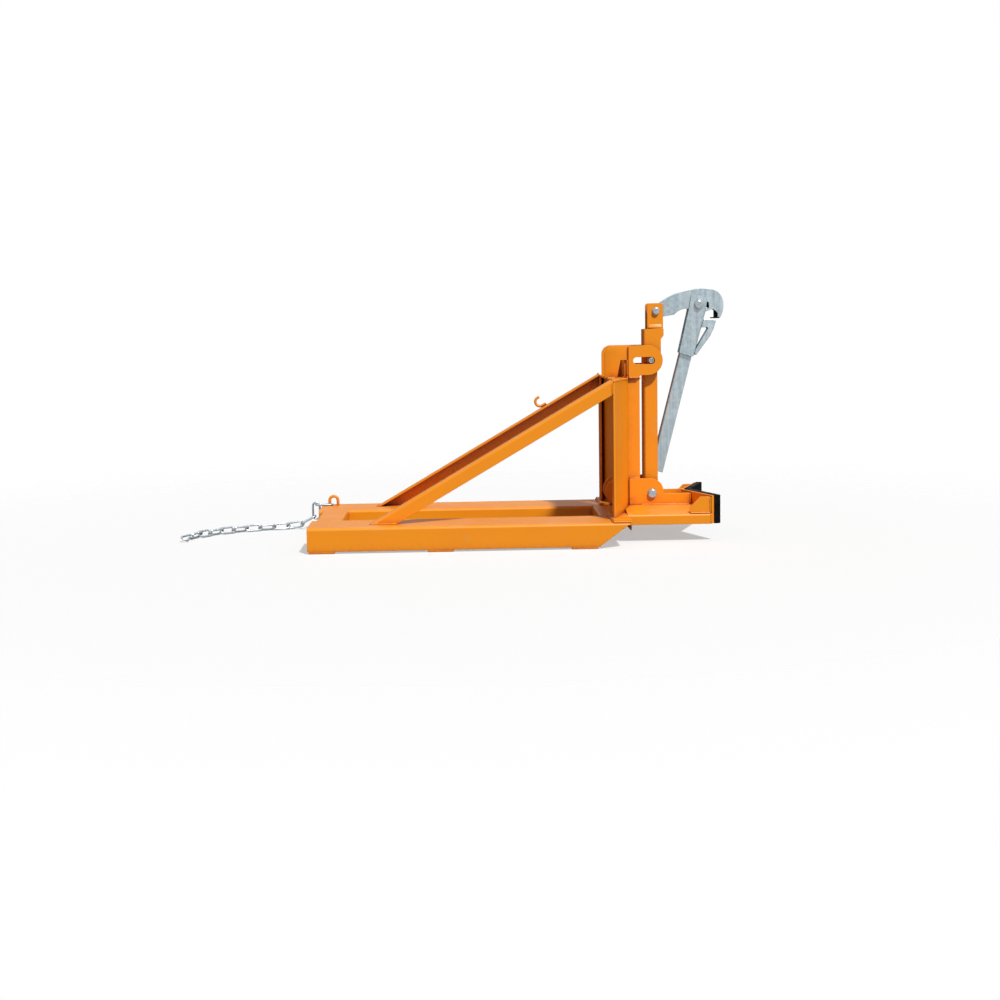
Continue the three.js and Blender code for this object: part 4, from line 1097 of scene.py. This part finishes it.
class CLAMP_OT_stage(bpy.types.Operator):
    """Sets the floor, the lamp, the white surroundings and the camera"""

    bl_idname = "clamp.stage"
    bl_label = "Stage"

    def floor_material(self, stage):
        """A pale floor that fades into the white surroundings away from the clamp."""
        made, tree, shader = blank_material("pale_floor")
        feed(tree, shader, {"Base Color": stage.floor, "Roughness": 0.9, "Specular IOR Level": 0.1})
        dim = node(tree, "ShaderNodeBsdfDiffuse", {"Color": (0.38, 0.38, 0.38, 1)})
        length = node(tree, "ShaderNodeVectorMath", {0: object_place(tree)}, operation="LENGTH")
        away = length.outputs["Value"]
        path = node(tree, "ShaderNodeLightPath")
        near = maths(tree, "ADD", maths(tree, "MULTIPLY", ramp(tree, away, 1.2, 3.2), 0.55), 0.45)
        fade = maths(tree, "MAXIMUM", maths(tree, "MULTIPLY", near, path.outputs["Is Camera Ray"]),
                     path.outputs["Is Glossy Ray"])
        clear = node(tree, "ShaderNodeBsdfTransparent")
        lit = node(tree, "ShaderNodeMixShader", {
            0: path.outputs["Is Diffuse Ray"], 1: shader.outputs[0], 2: dim.outputs[0]})
        blend = node(tree, "ShaderNodeMixShader", {0: fade, 1: lit.outputs[0], 2: clear.outputs[0]})
        tree.links.new(blend.outputs[0], tree.nodes["Material Output"].inputs["Surface"])
        return made

    def white_surroundings(self, context, strength):
        """White to the eye, but to what shines a white sky, a pale room and a dark strip low behind."""
        world = context.scene.world or bpy.data.worlds.new("surroundings")
        context.scene.world = world
        world.use_nodes = True
        tree = world.node_tree
        tree.nodes.clear()
        path = node(tree, "ShaderNodeLightPath")
        seen = maths(tree, "MAXIMUM", path.outputs["Is Camera Ray"], path.outputs["Is Transmission Ray"])
        seen_way = node(tree, "ShaderNodeTexCoord").outputs["Generated"]
        way = node(tree, "ShaderNodeSeparateXYZ", {0: seen_way}).outputs
        room = maths(tree, "ADD", maths(tree, "MULTIPLY", ramp(tree, way["Z"], 0.1, 0.5), 0.4), 0.6)
        low = maths(tree, "SUBTRACT", 1.0, ramp(tree, way["Z"], -0.02, 0.4))
        strip = maths(tree, "MULTIPLY", ramp(tree, way["Y"], 0.3, 0.8), low)
        unshaded = maths(tree, "SUBTRACT", 1.0, maths(tree, "MULTIPLY", strip, 0.97))
        shown = maths(tree, "MULTIPLY", room, unshaded)
        glossy = maths(tree, "MULTIPLY", path.outputs["Is Glossy Ray"], shown)
        other = maths(tree, "MULTIPLY", maths(tree, "SUBTRACT", 1.0, path.outputs["Is Glossy Ray"]), strength)
        level = maths(tree, "MAXIMUM", seen, maths(tree, "ADD", glossy, other))
        background = node(tree, "ShaderNodeBackground", {"Color": (1, 1, 1, 1), "Strength": level})
        node(tree, "ShaderNodeOutputWorld", {"Surface": background.outputs[0]})

    def execute(self, context):
        stage = context.scene.clamp_stage
        floor = new_primitive(bpy.ops.mesh.primitive_circle_add, vertices=96, radius=FLOOR_RADIUS,
                              fill_type="NGON", location=(0, 0, -0.0004))
        floor.name = "floor"
        settle(floor)
        floor.data.materials.append(self.floor_material(stage))
        self.white_surroundings(context, stage.sky)

        lamp = new_object("lamp", bpy.data.lights.new("lamp", "SUN"))
        lamp.data.energy = stage.lamp
        lamp.data.angle = LAMP_ANGLE
        lamp.rotation_mode = "QUATERNION"
        lamp.rotation_quaternion = Vector(LAMP_WAY).to_track_quat("Z", "Y")

        camera = new_object("camera", bpy.data.cameras.new("camera"))
        axes = (Vector(CAMERA_RIGHT), -Vector(CAMERA_DOWN), -Vector(CAMERA_FORWARD))
        camera.matrix_world = Matrix.Translation(CAMERA_SPOT) @ Matrix(axes).transposed().to_4x4()
        camera.data.sensor_width = 36
        camera.data.lens = stage.lens
        camera.data.clip_end = 200
        context.scene.camera = camera
        context.scene.view_settings.view_transform = "Standard"
        return {"FINISHED"}


class CLAMP_PT_sidebar(bpy.types.Panel):
    """Lists the clamp's pieces, sizes and colours"""

    bl_label = "Lifting clamp"
    bl_idname = "CLAMP_PT_sidebar"
    bl_space_type = "VIEW_3D"
    bl_region_type = "UI"
    bl_category = "Clamp"

    def draw(self, context):
        for settings in (context.scene.clamp_edges, context.scene.clamp_finish, context.scene.clamp_stage):
            box = self.layout.box()
            for name in settings.__annotations__:
                box.prop(settings, name)
        for operator in OPERATORS:
            self.layout.operator(operator.bl_idname)


SETTINGS = {"clamp_edges": ClampEdges, "clamp_finish": ClampFinish, "clamp_stage": ClampStage}
OPERATORS = (
    CLAMP_OT_channels, CLAMP_OT_mast, CLAMP_OT_cradle, CLAMP_OT_upright, CLAMP_OT_beak, CLAMP_OT_bolts,
    CLAMP_OT_fixed_hooks, CLAMP_OT_chain, CLAMP_OT_snap_hook, CLAMP_OT_welds, CLAMP_OT_stage,
)


def register():
    for made in (*SETTINGS.values(), *OPERATORS, CLAMP_PT_sidebar):
        bpy.utils.register_class(made)
    for name, group in SETTINGS.items():
        setattr(bpy.types.Scene, name, PointerProperty(type=group))


def unregister():
    for name in SETTINGS:
        delattr(bpy.types.Scene, name)
    for made in reversed((*SETTINGS.values(), *OPERATORS, CLAMP_PT_sidebar)):
        bpy.utils.unregister_class(made)


def main():
    register()
    bpy.ops.clamp.stage()
    bpy.ops.clamp.channels()
    bpy.ops.clamp.mast()
    bpy.ops.clamp.cradle()
    bpy.ops.clamp.upright()
    bpy.ops.clamp.beak()
    bpy.ops.clamp.bolts()
    bpy.ops.clamp.fixed_hooks()
    bpy.ops.clamp.chain()
    bpy.ops.clamp.snap_hook()
    bpy.ops.clamp.welds()


if __name__ == "__main__":
    main()
